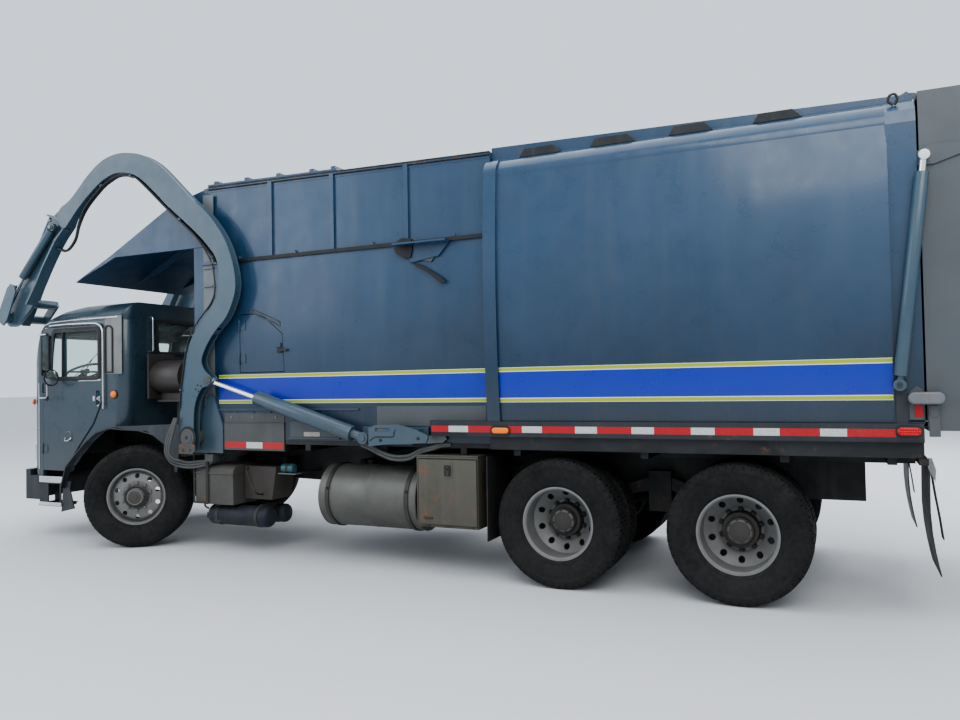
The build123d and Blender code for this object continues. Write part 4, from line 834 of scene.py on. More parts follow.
# =============================================================================
# LIFT ARMS
# =============================================================================
ARM = [(735, 1025), (690, 1090), (682, 1340), (695, 1505), (715, 1790), (755, 1925), (800, 2075), (905, 2255),
       (1095, 2475), (1190, 2600), (1220, 2785), (1205, 2915), (1135, 3045), (920, 3245), (580, 3520), (205, 3855),
       (40, 3950), (-180, 3990), (-355, 3945), (-500, 3870), (-750, 3690), (-925, 3520), (-1010, 3440),
       (-1110, 3560), (-1080, 3700), (-905, 3760), (-620, 4020), (-405, 4150), (-200, 4192), (-30, 4182),
       (200, 4130), (420, 4005), (640, 3800), (855, 3595), (1020, 3470), (1155, 3340), (1300, 3145), (1395, 2920),
       (1440, 2690), (1405, 2535), (1315, 2360), (1175, 2245), (1055, 2106), (980, 1962), (990, 1895), (1030, 1835),
       (1100, 1790), (1120, 1740), (1085, 1685), (1000, 1680), (950, 1635), (885, 1500), (870, 1335), (875, 1090),
       (840, 1025)]
ARM_S = smooth_loop(ARM, 2)
TOP = [p for p in ARM_S if p[1] > 2250]
k0 = max(range(len(TOP)), key=lambda i: math.dist(TOP[i - 1], TOP[i]))
TOP = TOP[k0:] + TOP[:k0]
WEB = [(735, 1045), (700, 1100), (694, 1340), (706, 1505), (727, 1790), (766, 1925), (811, 2075), (905, 2255),
       (925, 2245), (833, 2068), (788, 1920), (749, 1787), (729, 1505), (716, 1340), (722, 1105), (750, 1055)]
LEG = [(-905, 3760), (-905, 3540), (-1130, 3330), (-1335, 3050), (-1445, 2875), (-1610, 2650), (-1880, 2440),
       (-1950, 2418), (-2040, 2424), (-2085, 2480), (-2085, 2560), (-2050, 2610), (-1960, 2680), (-1795, 2925),
       (-1640, 3170), (-1490, 3370), (-1305, 3660)]
FP = (-2005.0, 2520.0)
AP = (797.0, 1173.0)
for s, tag in SIDES:
    def sx(a, b):
        return tuple(sorted((s * a, s * b)))
    m = Mesh()
    m.side(ARM_S, *sx(1177, 1192))
    m.side(ARM_S, *sx(1252, 1267))
    m.side(inset(TOP, 5.0), *sx(1190, 1254))
    m.side(smooth_loop(WEB, 1), *sx(1188, 1256))
    m.side([(905, 2255), (1172, 2245), (1138, 2200), (895, 2235)], *sx(1188, 1256))
    m.done("arm_" + tag, "arm", "arms", bevel=3.0, angle=24, replaces=("lift_arms",) if s > 0 else ())
    # lower end: pivot cap, wear plate, lug cheeks
    m = Mesh()
    m.lathe((s * 1267, AP[0], AP[1]), (s, 0, 0), [(0, 88), (10, 88), (14, 84), (14, 62), (20, 60), (20, 0.001)], 40)
    m.lathe((s * 1178, AP[0], AP[1]), (-s, 0, 0), [(0, 86), (44, 86), (44, 0.001)], 40)
    m.done("arm_foot_" + tag, "armlow", "arms", bevel=2.0)
    m = Mesh()
    m.frame_side([(AP[0] + 112 * cos(pi * k / 16), AP[1] + 112 * sin(pi * k / 16)) for k in range(32)],
                 [(AP[0] + 84 * cos(pi * k / 16), AP[1] + 84 * sin(pi * k / 16)) for k in range(32)], *sx(1266, 1276))
    m.side([(AP[0] - 17, AP[1] - 17), (AP[0] + 17, AP[1] - 17), (AP[0] + 17, AP[1] + 17), (AP[0] - 17, AP[1] + 17)],
           *sx(1286, 1288))
    m.done("arm_foot_ring_" + tag, "gasket", "arms", bevel=1.5)
    m = Mesh()
    m.side(fillet([(684, 1008), (860, 1008), (899, 1040), (899, 1100), (860, 1114), (690, 1112)], 14, 3), *sx(1268, 1280))
    m.done("arm_heel_" + tag, "armrust", "arms", bevel=2.0)
    # black discs standing for the holes: painted shade
    m = Mesh()
    for y, z in ((745, 1046), (838, 1046)):
        m.cyl((s * 1280, y, z), (s * 1281, y, z), 13, 20)
    m.done("arm_heel_holes_" + tag, "gasket", "arms")
    m = Mesh()
    m.lathe((s * 1267, 1062, 1737), (s, 0, 0), [(0, 46), (9, 46), (12, 42), (12, 24), (17, 22), (17, 0.001)], 28)
    m.lathe((s * 1177, 1062, 1737), (-s, 0, 0), [(0, 46), (9, 46), (12, 42), (12, 0.001)], 28)
    for y, z in ((905, 1660), (940, 1640), (930, 1700), (975, 1690)):
        m.bolt((s * 1267, y, z), (s, 0, 0), 8, 8)
    m.done("arm_lug_" + tag, "armlow", "arms", bevel=1.5)
    # end leg
    m = Mesh()
    m.side(smooth_loop(LEG, 1), *sx(1146, 1190))
    m.side([(-1130, 3330), (-1335, 3050), (-1445, 2875), (-1610, 2650), (-1632, 2662), (-1467, 2887),
            (-1357, 3062), (-1152, 3342)], *sx(1188, 1280))
    m.side([(-1152, 3342), (-1005, 3470), (-990, 3455), (-1135, 3325)], *sx(1188, 1280))
    # front edge flange and cross gusset at the cylinder's head
    m.side([(-2030, 2625), (-1795, 2925), (-1640, 3170), (-1490, 3370), (-1310, 3650), (-1325, 3660), (-1505, 3380),
            (-1655, 3180), (-1810, 2935), (-2040, 2640)], *sx(1146, 1194))
    m.side([(-1010, 3460), (-1110, 3560), (-1290, 3640), (-1280, 3655), (-1090, 3600), (-990, 3480)], *sx(1188, 1262))
    m.lathe((s * 1128, FP[0], FP[1]), (s, 0, 0), [(0, 56), (0, 80), (6, 84), (66, 84), (70, 80), (70, 56)], 40,
            closed=True)
    m.done("arm_leg_" + tag, "arm", "arms", bevel=3.0, angle=24)
    m = Mesh()
    m.cyl((s * 1188, -1215, 3500), (s * 1291, -1215, 3500), 22, 24, chamfer=3)
    m.box(sx(1262, 1290), (-1235, -1195), (3560, 3585))
    m.done("arm_pin_" + tag, "nut", "arms")
    # hoses clamped along the inner edge of the arch, looping at the leg's head
    for k, off in enumerate((0.0, 30.0)):
        x = s * (1205 + off)
        d = 22
        path = [(x, 1165 - d, 2930), (x, 1100 - d, 3020), (x, 900 - d, 3225),
                (x, 560 - d, 3505), (x, 190 - d, 3830), (x, 30, 3925), (x, -180, 3962), (x, -350, 3915),
                (x, -480, 3845), (x, -700, 3670), (x, -820 + 20 * k, 3500), (x, -890 + 30 * k, 3330),
                (x, -1020 + 20 * k, 3230 - 10 * k), (x, -1160, 3270)]
        m = Mesh()
        m.tube(path, 13, 8, 6)
        m.done("arm_hose_%s_%d" % (tag, k), "hose", "arms", angle=60)
    m = Mesh()
    for y, z in ((1130, 2975), (700, 3400), (10, 3935), (-430, 3885)):
        m.box(sx(1188, 1252), (y - 34, y + 4), (z - 14, z + 14))
    m.done("hose_clamps_" + tag, "armlow", "arms", bevel=2)
    # line that leaves the arch's underside and runs down the arm's outer face
    m = Mesh()
    m.tube([(s * 1230, 880, 3215), (s * 1262, 930, 3185), (s * 1274, 1060, 3040), (s * 1274, 1138, 2905),
            (s * 1274, 1172, 2760), (s * 1274, 1172, 2612), (s * 1274, 1118, 2505), (s * 1274, 1025, 2412),
            (s * 1274, 930, 2316), (s * 1274, 845, 2200), (s * 1274, 788, 2056), (s * 1274, 750, 1855),
            (s * 1274, 715, 1654), (s * 1274, 702, 1500), (s * 1258, 676, 1400), (s * 1250, 662, 1371)], 8, 8, 6)
    m.done("arm_line_" + tag, "hose", "arms", angle=60)
    m = Mesh()
    for y, z in ((1138, 2905), (1172, 2680), (930, 2316), (788, 2056), (715, 1654)):
        m.side([(y - 16, z - 9), (y + 16, z - 9), (y + 16, z + 9), (y - 16, z + 9)], *sx(1267, 1284))
    m.done("arm_line_clips_" + tag, "armlow", "arms", bevel=2)
m = Mesh()
m.cyl((-1140, AP[0], AP[1]), (1140, AP[0], AP[1]), 64, 48)
for x in (-700, 0, 700):
    m.cyl((x - 30, AP[0], AP[1]), (x + 30, AP[0], AP[1]), 69, 48)
m.done("arm_tube", "armlow", "arms")

# covers of the pivot brackets and the hose loop in front of them
for s, tag in SIDES:
    m = Mesh()
    for k in range(3):
        o = 26 * k
        m.tube([(s * 1304, 662 + o * 0.5, 1371), (s * 1304, 580 + o, 1215),
                (s * 1300, 523 + o, 1042), (s * (1260 + o * 0.2), 543 + o, 930 + o * 0.6),
                (s * (1215 + o * 0.2), 599 + o, 882 + o), (s * 1180, 705, 862 + o), (s * 1140, 816, 870 + o),
                (s * 1070, 930, 905 + o * 0.5), (s * 960, 990, 960)], 14, 10, 7)
    m.done("loop_hoses_" + tag, "hosegrey", angle=60)
    m = Mesh()
    x0, x1 = sorted((s * 1040, s * 1150))
    m.box((x0, x1), (905, 1010), (925, 1000))
    m.cyl((s * 1060, 950, 905), (s * 1060, 950, 930), 26, 20)
    m.cyl((s * 1120, 960, 905), (s * 1120, 960, 930), 20, 20)
    m.done("hose_block_" + tag, "armlow", bevel=3)

# =============================================================================
# CAB DETAIL
# =============================================================================
WIN = [(-1500, 1812), (-1452, 2345), (-722, 2345), (-722, 1812)]
for s, tag in SIDES:
    body = "door_" + tag

    def sx(a, b):
        return tuple(sorted((s * a, s * b)))
    # window surround: rubber outside, bright frame inside, vent bar
    m = Mesh()
    m.frame_side(fillet(inset(WIN, -34), 70, 6), fillet(inset(WIN, 4), 44, 6), *sx(1050, 1058))
    m.done("door_window_rubber_" + tag, "gasket", body, bevel=2)
    m = Mesh()
    m.frame_side(fillet(inset(WIN, -10), 52, 6), fillet(inset(WIN, 14), 34, 6), *sx(1048, 1062))
    m.side([(-1322, 1815), (-1316, 2343), (-1296, 2343), (-1302, 1815)], *sx(1046, 1060))
    m.side([(-1500, 1795), (-1455, 1795), (-720, 1795), (-720, 1812), (-1500, 1812)], *sx(1050, 1064))
    m.done("door_window_frame_" + tag, "trim", body, bevel=2)
    m = Mesh()
    m.side([(-1048, 1768), (-697, 1768), (-697, 1789), (-1048, 1789)], *sx(1051, 1057))
    m.done("door_sill_" + tag, "bright", body, bevel=3)
    # raised outer skin line, lower round cap with loop handle, lock and hinges
    m = Mesh()
    lowcurve = [(-664, 1560), (-810, 1292), (-1020, 1062), (-1180, 862)]
    m.loops([[P(s * 1051, y, z), P(s * 1060, y - 4, z + 4), P(s * 1060, y - 24, z + 12), P(s * 1051, y - 30, z + 14)]
             for y, z in lowcurve])
    m.lathe((s * 1051, -1215, 1150), (s, 0, 0), [(0, 58), (5, 56), (8, 50), (8, 40), (5, 36), (5, 0.001)], 36)
    m.done("door_lower_trim_" + tag, "cab", body, bevel=1.5)
    m = Mesh()
    m.tube([(s * 1056, -1262, 1130), (s * 1078, -1250, 1105), (s * 1084, -1215, 1095), (s * 1078, -1180, 1105),
            (s * 1056, -1168, 1130)], 6, 8, 6)
    m.cyl((s * 1051, -735, 1500), (s * 1062, -735, 1500), 17, 20, chamfer=2)
    m.box(sx(1056, 1074), (-800, -715), (1560, 1585))
    m.box(sx(1050, 1062), (-812, -700), (1545, 1600))
    m.done("door_handle_" + tag, "bright", body, bevel=3)
    m = Mesh()
    for z in (1000, 1700):
        m.box(sx(1050, 1057), (-1636, -1560), (z - 40, z + 40))
        for yy_ in (-1610, -1580):
            m.rivet((s * 1057, yy_, z - 20), (s, 0, 0), 7)
            m.rivet((s * 1057, yy_, z + 20), (s, 0, 0), 7)
    m.done("door_hinges_" + tag, "cab", body, bevel=1.5)
    # grab tube round the door's rear edge
    m = Mesh()
    m.tube([(s * 1070, -1500, 2415), (s * 1072, -1200, 2420), (s * 1072, -800, 2412), (s * 1072, -700, 2395),
            (s * 1072, -648, 2340), (s * 1072, -636, 2240), (s * 1072, -636, 1900), (s * 1072, -636, 1460)], 11, 12, 8)
    for y, z in ((-1500, 2415), (-1100, 2418), (-636, 2100), (-636, 1470)):
        m.cyl((s * 1050, y, z), (s * 1073, y, z), 9, 12)
    m.done("grab_tube_" + tag, "bright")
    # riveted panel with the blanked quarter window
    m = Mesh()
    m.side([(-626, 1842), (-626, 2440), (-600, 2478), (-366, 2486), (-366, 1842)], *sx(1050, 1053))
    m.done("rivet_panel_" + tag, "bare", bevel=0.6)
    m = Mesh()
    q = [(-617, 1856), (-617, 2380), (-502, 2380), (-502, 1856)]
    m.frame_side(fillet(inset(q, -4), [4, 40, 70, 4], 6), fillet(inset(q, 14), [2, 30, 54, 2], 6), *sx(1053, 1063))
    m.done("quarter_gasket_" + tag, "gasket", bevel=2)
    m = Mesh()
    for z in range(1860, 2480, 75):
        m.rivet((s * 1053, -375, z), (s, 0, 0), 7)
    for y in range(-580, -380, 48):
        m.rivet((s * 1053, y, 2455), (s, 0, 0), 7)
    for z in range(1880, 2330, 90):
        m.rivet((s * 1053, -455, z), (s, 0, 0), 5)
    m.done("rivets_" + tag, "nut")
    # drip rail above the door
    m = Mesh()
    m.loops([[P(s * (1046 + q), y, z), P(s * (1046 + q), y, z + 12), P(s * (1066 + q), y, z + 16),
              P(s * (1070 + q), y, z + 8), P(s * (1066 + q), y, z)] for y, z, q in
             ((-1660, 2350, -6), (-1600, 2418, -8), (-1500, 2447, -8), (-1200, 2458, -8), (-800, 2460, -8),
              (-420, 2462, -8))])
    m.done("drip_rail_" + tag, "bright", bevel=1.5)
    # front pillar trim and lower lamp
    m = Mesh()
    m.side([(-1720, 760), (-1720, 1760), (-1706, 1760), (-1706, 760)], *sx(1046, 1054))
    m.done("pillar_trim_" + tag, "bright", bevel=2)
    m = Mesh()
    m.lathe((s * 1050, -484, 1615), (s, 0, 0), [(0, 48), (9, 48), (11, 44), (11, 0.001)], 32)
    m.done("lamp_base_" + tag, "gasket")
    m = Mesh()
    m.lathe((s * 1060, -484, 1615), (s, 0, 0), [(0, 40), (10, 39), (20, 32), (27, 20), (30, 0.001)], 32)
    m.done("cab_side_lamp_" + tag, "amber", angle=60)
    # mirror carried by the door: tall head, round wide-angle head, two bent arms
    m = Mesh()
    m.front(fillet([(s * 1101, 1836), (s * 1227, 1836), (s * 1227, 2299), (s * 1101, 2299)], 20, 6), -1446, -1428)
    m.front(fillet([(s * 1112, 1852), (s * 1216, 1852), (s * 1216, 2283), (s * 1112, 2283)], 18, 6), -1462, -1440)
    m.lathe((s * 1170, -1340, 1815), (0, -1, 0), [(0, 88), (0, 95), (8, 97), (18, 84), (28, 56), (32, 24),
                                                  (33, 0.001)], 40)
    m.tube([(s * 1170, -1372, 1815), (s * 1170, -1396, 1838), (s * 1170, -1420, 1858), (s * 1170, -1445, 1860)], 9, 10, 5)
    m.done("mirror_head_" + tag, "trim", body, bevel=4, replaces=("mirror_" + tag,))
    m = Mesh()
    m.front(fillet([(s * 1109, 1845), (s * 1219, 1845), (s * 1219, 2290), (s * 1109, 2290)], 16, 6), -1428, -1425)
    m.lathe((s * 1170, -1341, 1815), (0, 1, 0), [(-2, 86), (0, 86), (5, 62), (8, 32), (9, 0.001)], 40)
    m.done("mirror_glass_" + tag, "mirror", body)
    m = Mesh()
    for z in (2312, 1588):
        m.tube([(s * 1058, -1586, z), (s * 1100, -1586, z), (s * 1136, -1583, z), (s * 1152, -1566, z),
                (s * 1154, -1520, z), (s * 1154, -1462, z), (s * 1154, -1446, z - 8 if z > 2000 else z + 8),
                (s * 1154, -1437, z - 34 if z > 2000 else z + 34)], 8, 10, 6)
    m.tube([(s * 1154, -1437, 1612), (s * 1154, -1437, 1720), (s * 1154, -1437, 1860)], 8, 10, 4)
    m.done("mirror_arms_" + tag, "bright", body, bevel=1)
    m = Mesh()
    for z in (2312, 1588):
        m.side(fillet([(-1612, z - 34), (-1562, z - 34), (-1562, z + 26), (-1612, z + 26)], 12, 4), *sx(1052.5, 1064))
        m.bolt((s * 1064, -1587, z - 22), (s, 0, 0), 6, 5)
        m.cyl((s * 1154, -1437, z - 30), (s * 1154, -1437, z + 6), 13, 16, chamfer=2)
    m.done("mirror_feet_" + tag, "trim", body, bevel=1.5)
    m = Mesh()
    m.lathe((s * 1012, -1838, 1540), (s * 0.5, -0.87, 0), [(0, 36), (8, 36), (18, 30), (26, 18), (29, 0.001)], 28)
    m.done("corner_lamp_" + tag, "amber", angle=60)

# windscreen rubber and wipers, grille, nameplate strip left plain, headlamp bezels
m = Mesh()
ws = lambda x, t: P(x, -1850 + t * 160 - 3, 1730 + t * 600 )
for s in (1, -1):
    o = fillet([(s * 8, 1748), (s * 948, 1748), (s * 948, 2316), (s * 8, 2316)], 60, 6)
    i = fillet([(s * 34, 1782), (s * 918, 1782), (s * 918, 2284), (s * 34, 2284)], 40, 6)
    rings = []
    for loop, d in ((o, 2), (o, -12), (i, -12), (i, 6)):
        rings.append([P(x, -1850 + (z - 1730) * 0.26667 + d, z) for x, z in loop])
    m.loops(rings + [rings[0]], cap=False)
m.done("windscreen_rubber", "gasket", bevel=2)
m = Mesh()
for s in (1, -1):
    m.tube([(s * 420, -1862, 1735), (s * 360, -1846, 1850), (s * 250, -1806, 2060)], 6, 8, 5)
    m.tube([(s * 520, -1856, 1790), (s * 250, -1806, 2060), (s * 90, -1768, 2230)], 4, 6, 5)
    m.cyl((s * 420, -1868, 1722), (s * 420, -1845, 1722), 18, 16)
m.done("wipers", "trim")
m = Mesh()
m.frame_front(fillet([(-560, 800), (560, 800), (560, 1560), (-560, 1560)], 40, 5),
              fillet([(-530, 830), (530, 830), (530, 1530), (-530, 1530)], 26, 5), -1874, -1849)
for k in range(11):
    z = 856 + k * 64
    m.box((-532, 532), (-1868, -1850), (z, z + 26))
for x in (-270, 0, 270):
    m.box((x - 9, x + 9), (-1872, -1848), (832, 1530))
m.done("grille", "bright", bevel=3)
m = Mesh()
m.box((-532, 532), (-1853, -1849), (832, 1530))
m.done("grille_back", "gasket")
for s, tag in SIDES:
    m = Mesh()
    m.frame_front(fillet([(s * 640, 840), (s * 985, 840), (s * 985, 1080), (s * 640, 1080)], 40, 6),
                  fillet([(s * 664, 864), (s * 961, 864), (s * 961, 1056), (s * 664, 1056)], 26, 6), -1868, -1847)
    m.box(tuple(sorted((s * 808, s * 818))), (-1866, -1848), (862, 1058))
    m.done("headlamp_bezel_" + tag, "bright", bevel=3)
    m = Mesh()
    m.box(tuple(sorted((s * 662, s * 963))), (-1853, -1849), (862, 1058))
    m.done("headlamp_back_" + tag, "gasket")
    m = Mesh()
    for x in (738, 888):
        m.lathe((s * x, -1850, 960), (0, -1, 0), [(0, 66), (6, 66), (12, 60), (18, 44), (21, 20), (22, 0.001)], 32)
    m.done("headlamps_" + tag, "whitelens", angle=60, replaces=("lamps",) if s > 0 else ())
    m = Mesh()
    m.front(fillet([(s * 700, 1110), (s * 930, 1110), (s * 930, 1160), (s * 700, 1160)], 20, 5), -1866, -1849)
    m.done("turn_lamps_" + tag, "amber", bevel=4)
m = Mesh()
for x in (-600, -110, 0, 110, 600):
    m.lathe((x, -1545, 2488), (0, 0, 1), [(0, 40), (16, 38), (16, 30), (40, 24), (50, 0.001)], 24)
m.done("roof_lamps", "amber", angle=50)
# bumper: bolts and number plate; tow hooks stay CAD
m = Mesh()
for x in (-980, -640, -405, 405, 640, 980):
    for z in (470, 690):
        m.bolt((x, -1975, z), (0, -1, 0), 14, 10)
m.done("bumper_bolts", "nut", bevel=1)
m = Mesh()
m.front(fillet([(-170, 520), (170, 520), (170, 680), (-170, 680)], 12, 4), -1983, -1976)
m.done("number_plate", "plate", bevel=1)
# step edges
for s, tag in SIDES:
    m = Mesh()
    a, b = sorted((s * 1070, s * 1088))
    m.box((a, b), (-1668, -1262), (615, 688))
    m.box((a, b), (-1668, -1300), (352, 392))
    m.done("step_edge_" + tag, "bright", bevel=3)
    m = Mesh()
    for k in range(9):
        y = -1670 + k * 42
        m.box(tuple(sorted((s * 850, s * 1064))), (y, y + 14), (624, 634))
        m.box(tuple(sorted((s * 850, s * 1064))), (y, y + 14), (369, 379))
    m.done("step_treads_" + tag, "dirty", bevel=1.5)
# rear window rubber, position tubes beside it
m = Mesh()
m.frame_front(fillet([(-620, 2055), (620, 2055), (620, 2465), (-620, 2465)], 60, 6),
              fillet([(-578, 2092), (578, 2092), (578, 2428), (-578, 2428)], 34, 6), -336, -318)
m.done("rear_window_rubber", "gasket", bevel=2)
m = Mesh()
for s in (1, -1):
    m.tube([(s * 690, -330, 2475), (s * 690, -296, 2470), (s * 690, -292, 2300), (s * 690, -292, 2150),
            (s * 690, -296, 2095), (s * 690, -330, 2090)], 10, 10, 6)
m.done("rear_grab_tubes", "bright")

# =============================================================================
# TANKS, BOXES AND RESERVOIRS BETWEEN THE WHEELS
# =============================================================================
def vessel(m, x, y0, y1, z, r, rim=12.0):
    """Lying round vessel with dished ends and a weld bead near each."""
    L = y1 - y0
    m.lathe((x, y0, z), (0, 1, 0), [(0, 0.001), (3, r * 0.45), (10, r * 0.72), (22, r * 0.9), (38, r * 0.985), (52, r - 1),
                                    (58, r - 1), (61, r), (66, r), (69, r - 1), (L - 69, r - 1), (L - 66, r),
                                    (L - 61, r), (L - 58, r - 1), (L - 52, r - 1), (L - 38, r * 0.985),
                                    (L - 22, r * 0.9), (L - 10, r * 0.72), (L - 3, r * 0.45), (L, 0.001)], 56)


m = Mesh()
m.lathe((880, 2310, 630), (0, 1, 0), [(10, 0.001), (10, 252), (0, 268), (0, 291), (7, 298), (20, 298), (27, 292),
                                      (515, 291), (520, 293), (525, 291), (1013, 292), (1020, 298), (1033, 298),
                                      (1040, 291), (1040, 268), (1030, 252), (1030, 0.001)], 96)
m.done("fuel_tank", "tank", replaces=("tanks",))
m = Mesh()
for a, b in ((2392, 2430), (3236, 3274)):
    m.lathe((880, a, 630), (0, 1, 0), [(0, 292), (0, 303), (b - a, 303), (b - a, 292)], 96, closed=True)
for y in (2411, 3255):
    m.bolt((1174, y, 720), (0.95, 0, 0.3), 10, 14)
    m.box((600, 660), (y - 20, y + 20), (640, 868))
m.done("tank_straps", "strap", bevel=1)
m = Mesh()
m.cyl((740, 2640, 880), (740, 2640, 926), 40, 28)
m.cyl((740, 2640, 922), (740, 2640, 950), 50, 28, chamfer=5)
m.done("tank_filler", "strap")
m = Mesh()
m.front(fillet([(-1150, 420), (-645, 420), (-645, 1000), (-1150, 1000)], 42, 6), 2320, 3360)
m.box((-1096, -704), (2404, 2696), (1000, 1028))
m.cyl((-900, 3050, 998), (-900, 3050, 1032), 58, 32, chamfer=5)
m.done("oil_tank", "bodyplain", bevel=8, segs=3)
m = Mesh()
for y in (2520, 3160):
    m.frame_front(fillet([(-1154, 416), (-641, 416), (-641, 1004), (-1154, 1004)], 44, 6),
                  fillet([(-1149, 421), (-646, 421), (-646, 999), (-1149, 999)], 40, 6), y - 25, y + 25)
m.done("oil_tank_straps", "strap", bevel=1)
m = Mesh()
m.side(fillet([(2780, 600), (2830, 600), (2830, 860), (2780, 860)], 20, 5), -1158, -1150)
m.done("oil_gauge", "whitelens", bevel=2)
m = Mesh()
vessel(m, 960.0, 830.0, 1600.0, 370.0, 104.0)
vessel(m, 700.0, 830.0, 1600.0, 370.0, 94.0)
m.done("reservoirs_left", "tankblue")
m = Mesh()
vessel(m, -820.0, 900.0, 1700.0, 640.0, 119.0)
m.done("reservoir_right", "tankblue")
m = Mesh()
for x, r in ((960, 104), (700, 94)):
    for y in (965, 1465):
        m.lathe((x, y - 18, 370), (0, 1, 0), [(0, r - 2), (0, r + 4), (36, r + 4), (36, r - 2)], 48, closed=True)
for y in (950, 1450):
    m.box((690, 970), (y, y + 30), (440, 487))
    m.box((-838, -644), (y + 52, y + 78), (742, 898))
    m.lathe((-820, y + 47, 640), (0, 1, 0), [(0, 117), (0, 123), (36, 123), (36, 117)], 48, closed=True)
m.done("reservoir_bands", "dirty", bevel=1.5)
m = Mesh()
for k in range(9):
    x, y, z = 930 + RG.random() * 130, 775 + RG.random() * 220, 275 + RG.random() * 150
    r = 14 + RG.random() * 16
    m.cyl((x, y, z), (x + RG.uniform(-30, 30), y + 40 + RG.random() * 50, z + RG.uniform(-20, 20)), r, 14, r2=r * 0.8,
          chamfer=2)
    m.cyl((x, y + 10, z), (x + 4, y + 12, z + 42), r * 0.5, 10)
m.tube([(985, 800, 420), (1000, 760, 450), (960, 740, 500), (880, 760, 560)], 9, 8, 6)
m.tube([(1010, 900, 430), (1040, 960, 470), (1020, 1060, 480), (930, 1120, 460)], 8, 8, 6)
m.done("reservoir_fittings", "dirty", angle=40)

# tool box: shell with a rolled rim, door, latch and grip
m = Mesh()
m.box((645, 1176), (3372, 3968), (425, 1045))
m.side([(3368, 1040), (3972, 1040), (3972, 1052), (3368, 1052)], 645, 1184)
m.frame_side([(3378, 432), (3962, 432), (3962, 1038), (3378, 1038)], [(3392, 446), (3948, 446), (3948, 1022),
                                                                     (3392, 1022)], 1174, 1182)
m.done("tool_box", "tool", bevel=5, replaces=("side_boxes",))
m = Mesh()
m.side(fillet([(3397, 451), (3957, 451), (3957, 1014), (3397, 1014)], 10, 3), 1182, 1190)
m.done("tool_box_door", "tool", bevel=3)
m = Mesh()
m.side(fillet([(3640, 858), (3736, 858), (3736, 982), (3640, 982)], 16, 5), 1189.5, 1194)
m.done("tool_box_latch_plate", "tool", bevel=1.5)
m = Mesh()
m.frame_side([(3389, 443), (3965, 443), (3965, 1022), (3389, 1022)], [(3397, 451), (3957, 451), (3957, 1014),
                                                                     (3397, 1014)], 1182, 1184.5)
m.done("tool_box_seal", "gasket")
# black plate standing for the latch's recess: painted shade
m = Mesh()
m.side(fillet([(3652, 872), (3724, 872), (3724, 968), (3652, 968)], 12, 5), 1193.5, 1195)
m.done("tool_box_latch_recess", "gasket")
m = Mesh()
m.cyl((1192, 3688, 940), (1202, 3688, 940), 15, 20, chamfer=2)
m.side(fillet([(3674, 876), (3702, 876), (3702, 940), (3674, 940)], 10, 4), 1196, 1202)
m.done("tool_box_latch", "strap", bevel=1.5)
m = Mesh()
m.tube([(1190, 3450, 508), (1201, 3458, 508), (1202, 3492, 508), (1201, 3526, 508), (1190, 3534, 508)], 6, 10, 5)
for y in (3440, 3640, 3860):
    m.cyl((1186, y, 440), (1186, y + 60, 440), 9, 14)
m.done("tool_box_grip", "strap")

# battery box with its lid, hold-down strap and frame, and the brown box set back behind it
m = Mesh()
m.box((642, 1106), (737, 1231), (490, 800))
m.side([(760, 540), (860, 540), (860, 556), (760, 556)], 1104, 1109)
m.side([(1100, 540), (1200, 540), (1200, 556), (1100, 556)], 1104, 1109)
m.done("battery_box", "battery", bevel=5)
m = Mesh()
m.front([(642, 792), (1114, 792), (1114, 808), (1109, 812), (1100, 846), (1074, 871), (1040, 882), (642, 882)],
        733, 1235)
m.done("battery_lid", "battery", bevel=6, segs=3, angle=40)
m = Mesh()
m.side([(884, 489), (910, 489), (910, 1016), (884, 1016)], 1114, 1120)
m.frame_side([(719, 492), (919, 492), (919, 1018), (719, 1018)], [(737, 512), (901, 512), (901, 998), (737, 998)],
             1108, 1119)
m.box((1060, 1116), (888, 906), (1000, 1016))
m.done("battery_strap", "dirty", bevel=1.5)
m = Mesh()
m.side([(1240, 537), (1588, 537), (1643, 870), (1240, 870)], 642, 948)
m.side([(1240, 858), (1641, 858), (1646, 872), (1240, 872)], 642, 950)
m.done("set_back_box", "batteryend", bevel=6, segs=3)
m = Mesh()
m.tube([(1010, 1345, 866), (1050, 1361, 831), (1056, 1380, 790), (1056, 1398, 743), (1054, 1425, 680),
        (1050, 1459, 626), (1010, 1470, 600), (945, 1474, 590)], 9, 10, 6)
m.done("set_back_handle", "gasket")
m = Mesh()
m.lathe((950, 1729, 862), (0, 1, 0), [(0, 0.001), (0, 34), (6, 44), (18, 46), (130, 46), (142, 44), (148, 34),
                                      (148, 0.001)], 32)
m.done("separator", "teal")
m = Mesh()
m.box((900, 1000), (1706, 1922), (806, 816))
m.done("separator_shelf", "light", bevel=1.5)
m = Mesh()
m.box((440, 905), (1790, 1830), (786, 806))
m.lathe((950, 1790, 862), (0, 1, 0), [(0, 45), (0, 49), (24, 49), (24, 45)], 32, closed=True)
m.done("separator_bracket", "dirty", bevel=1.5)

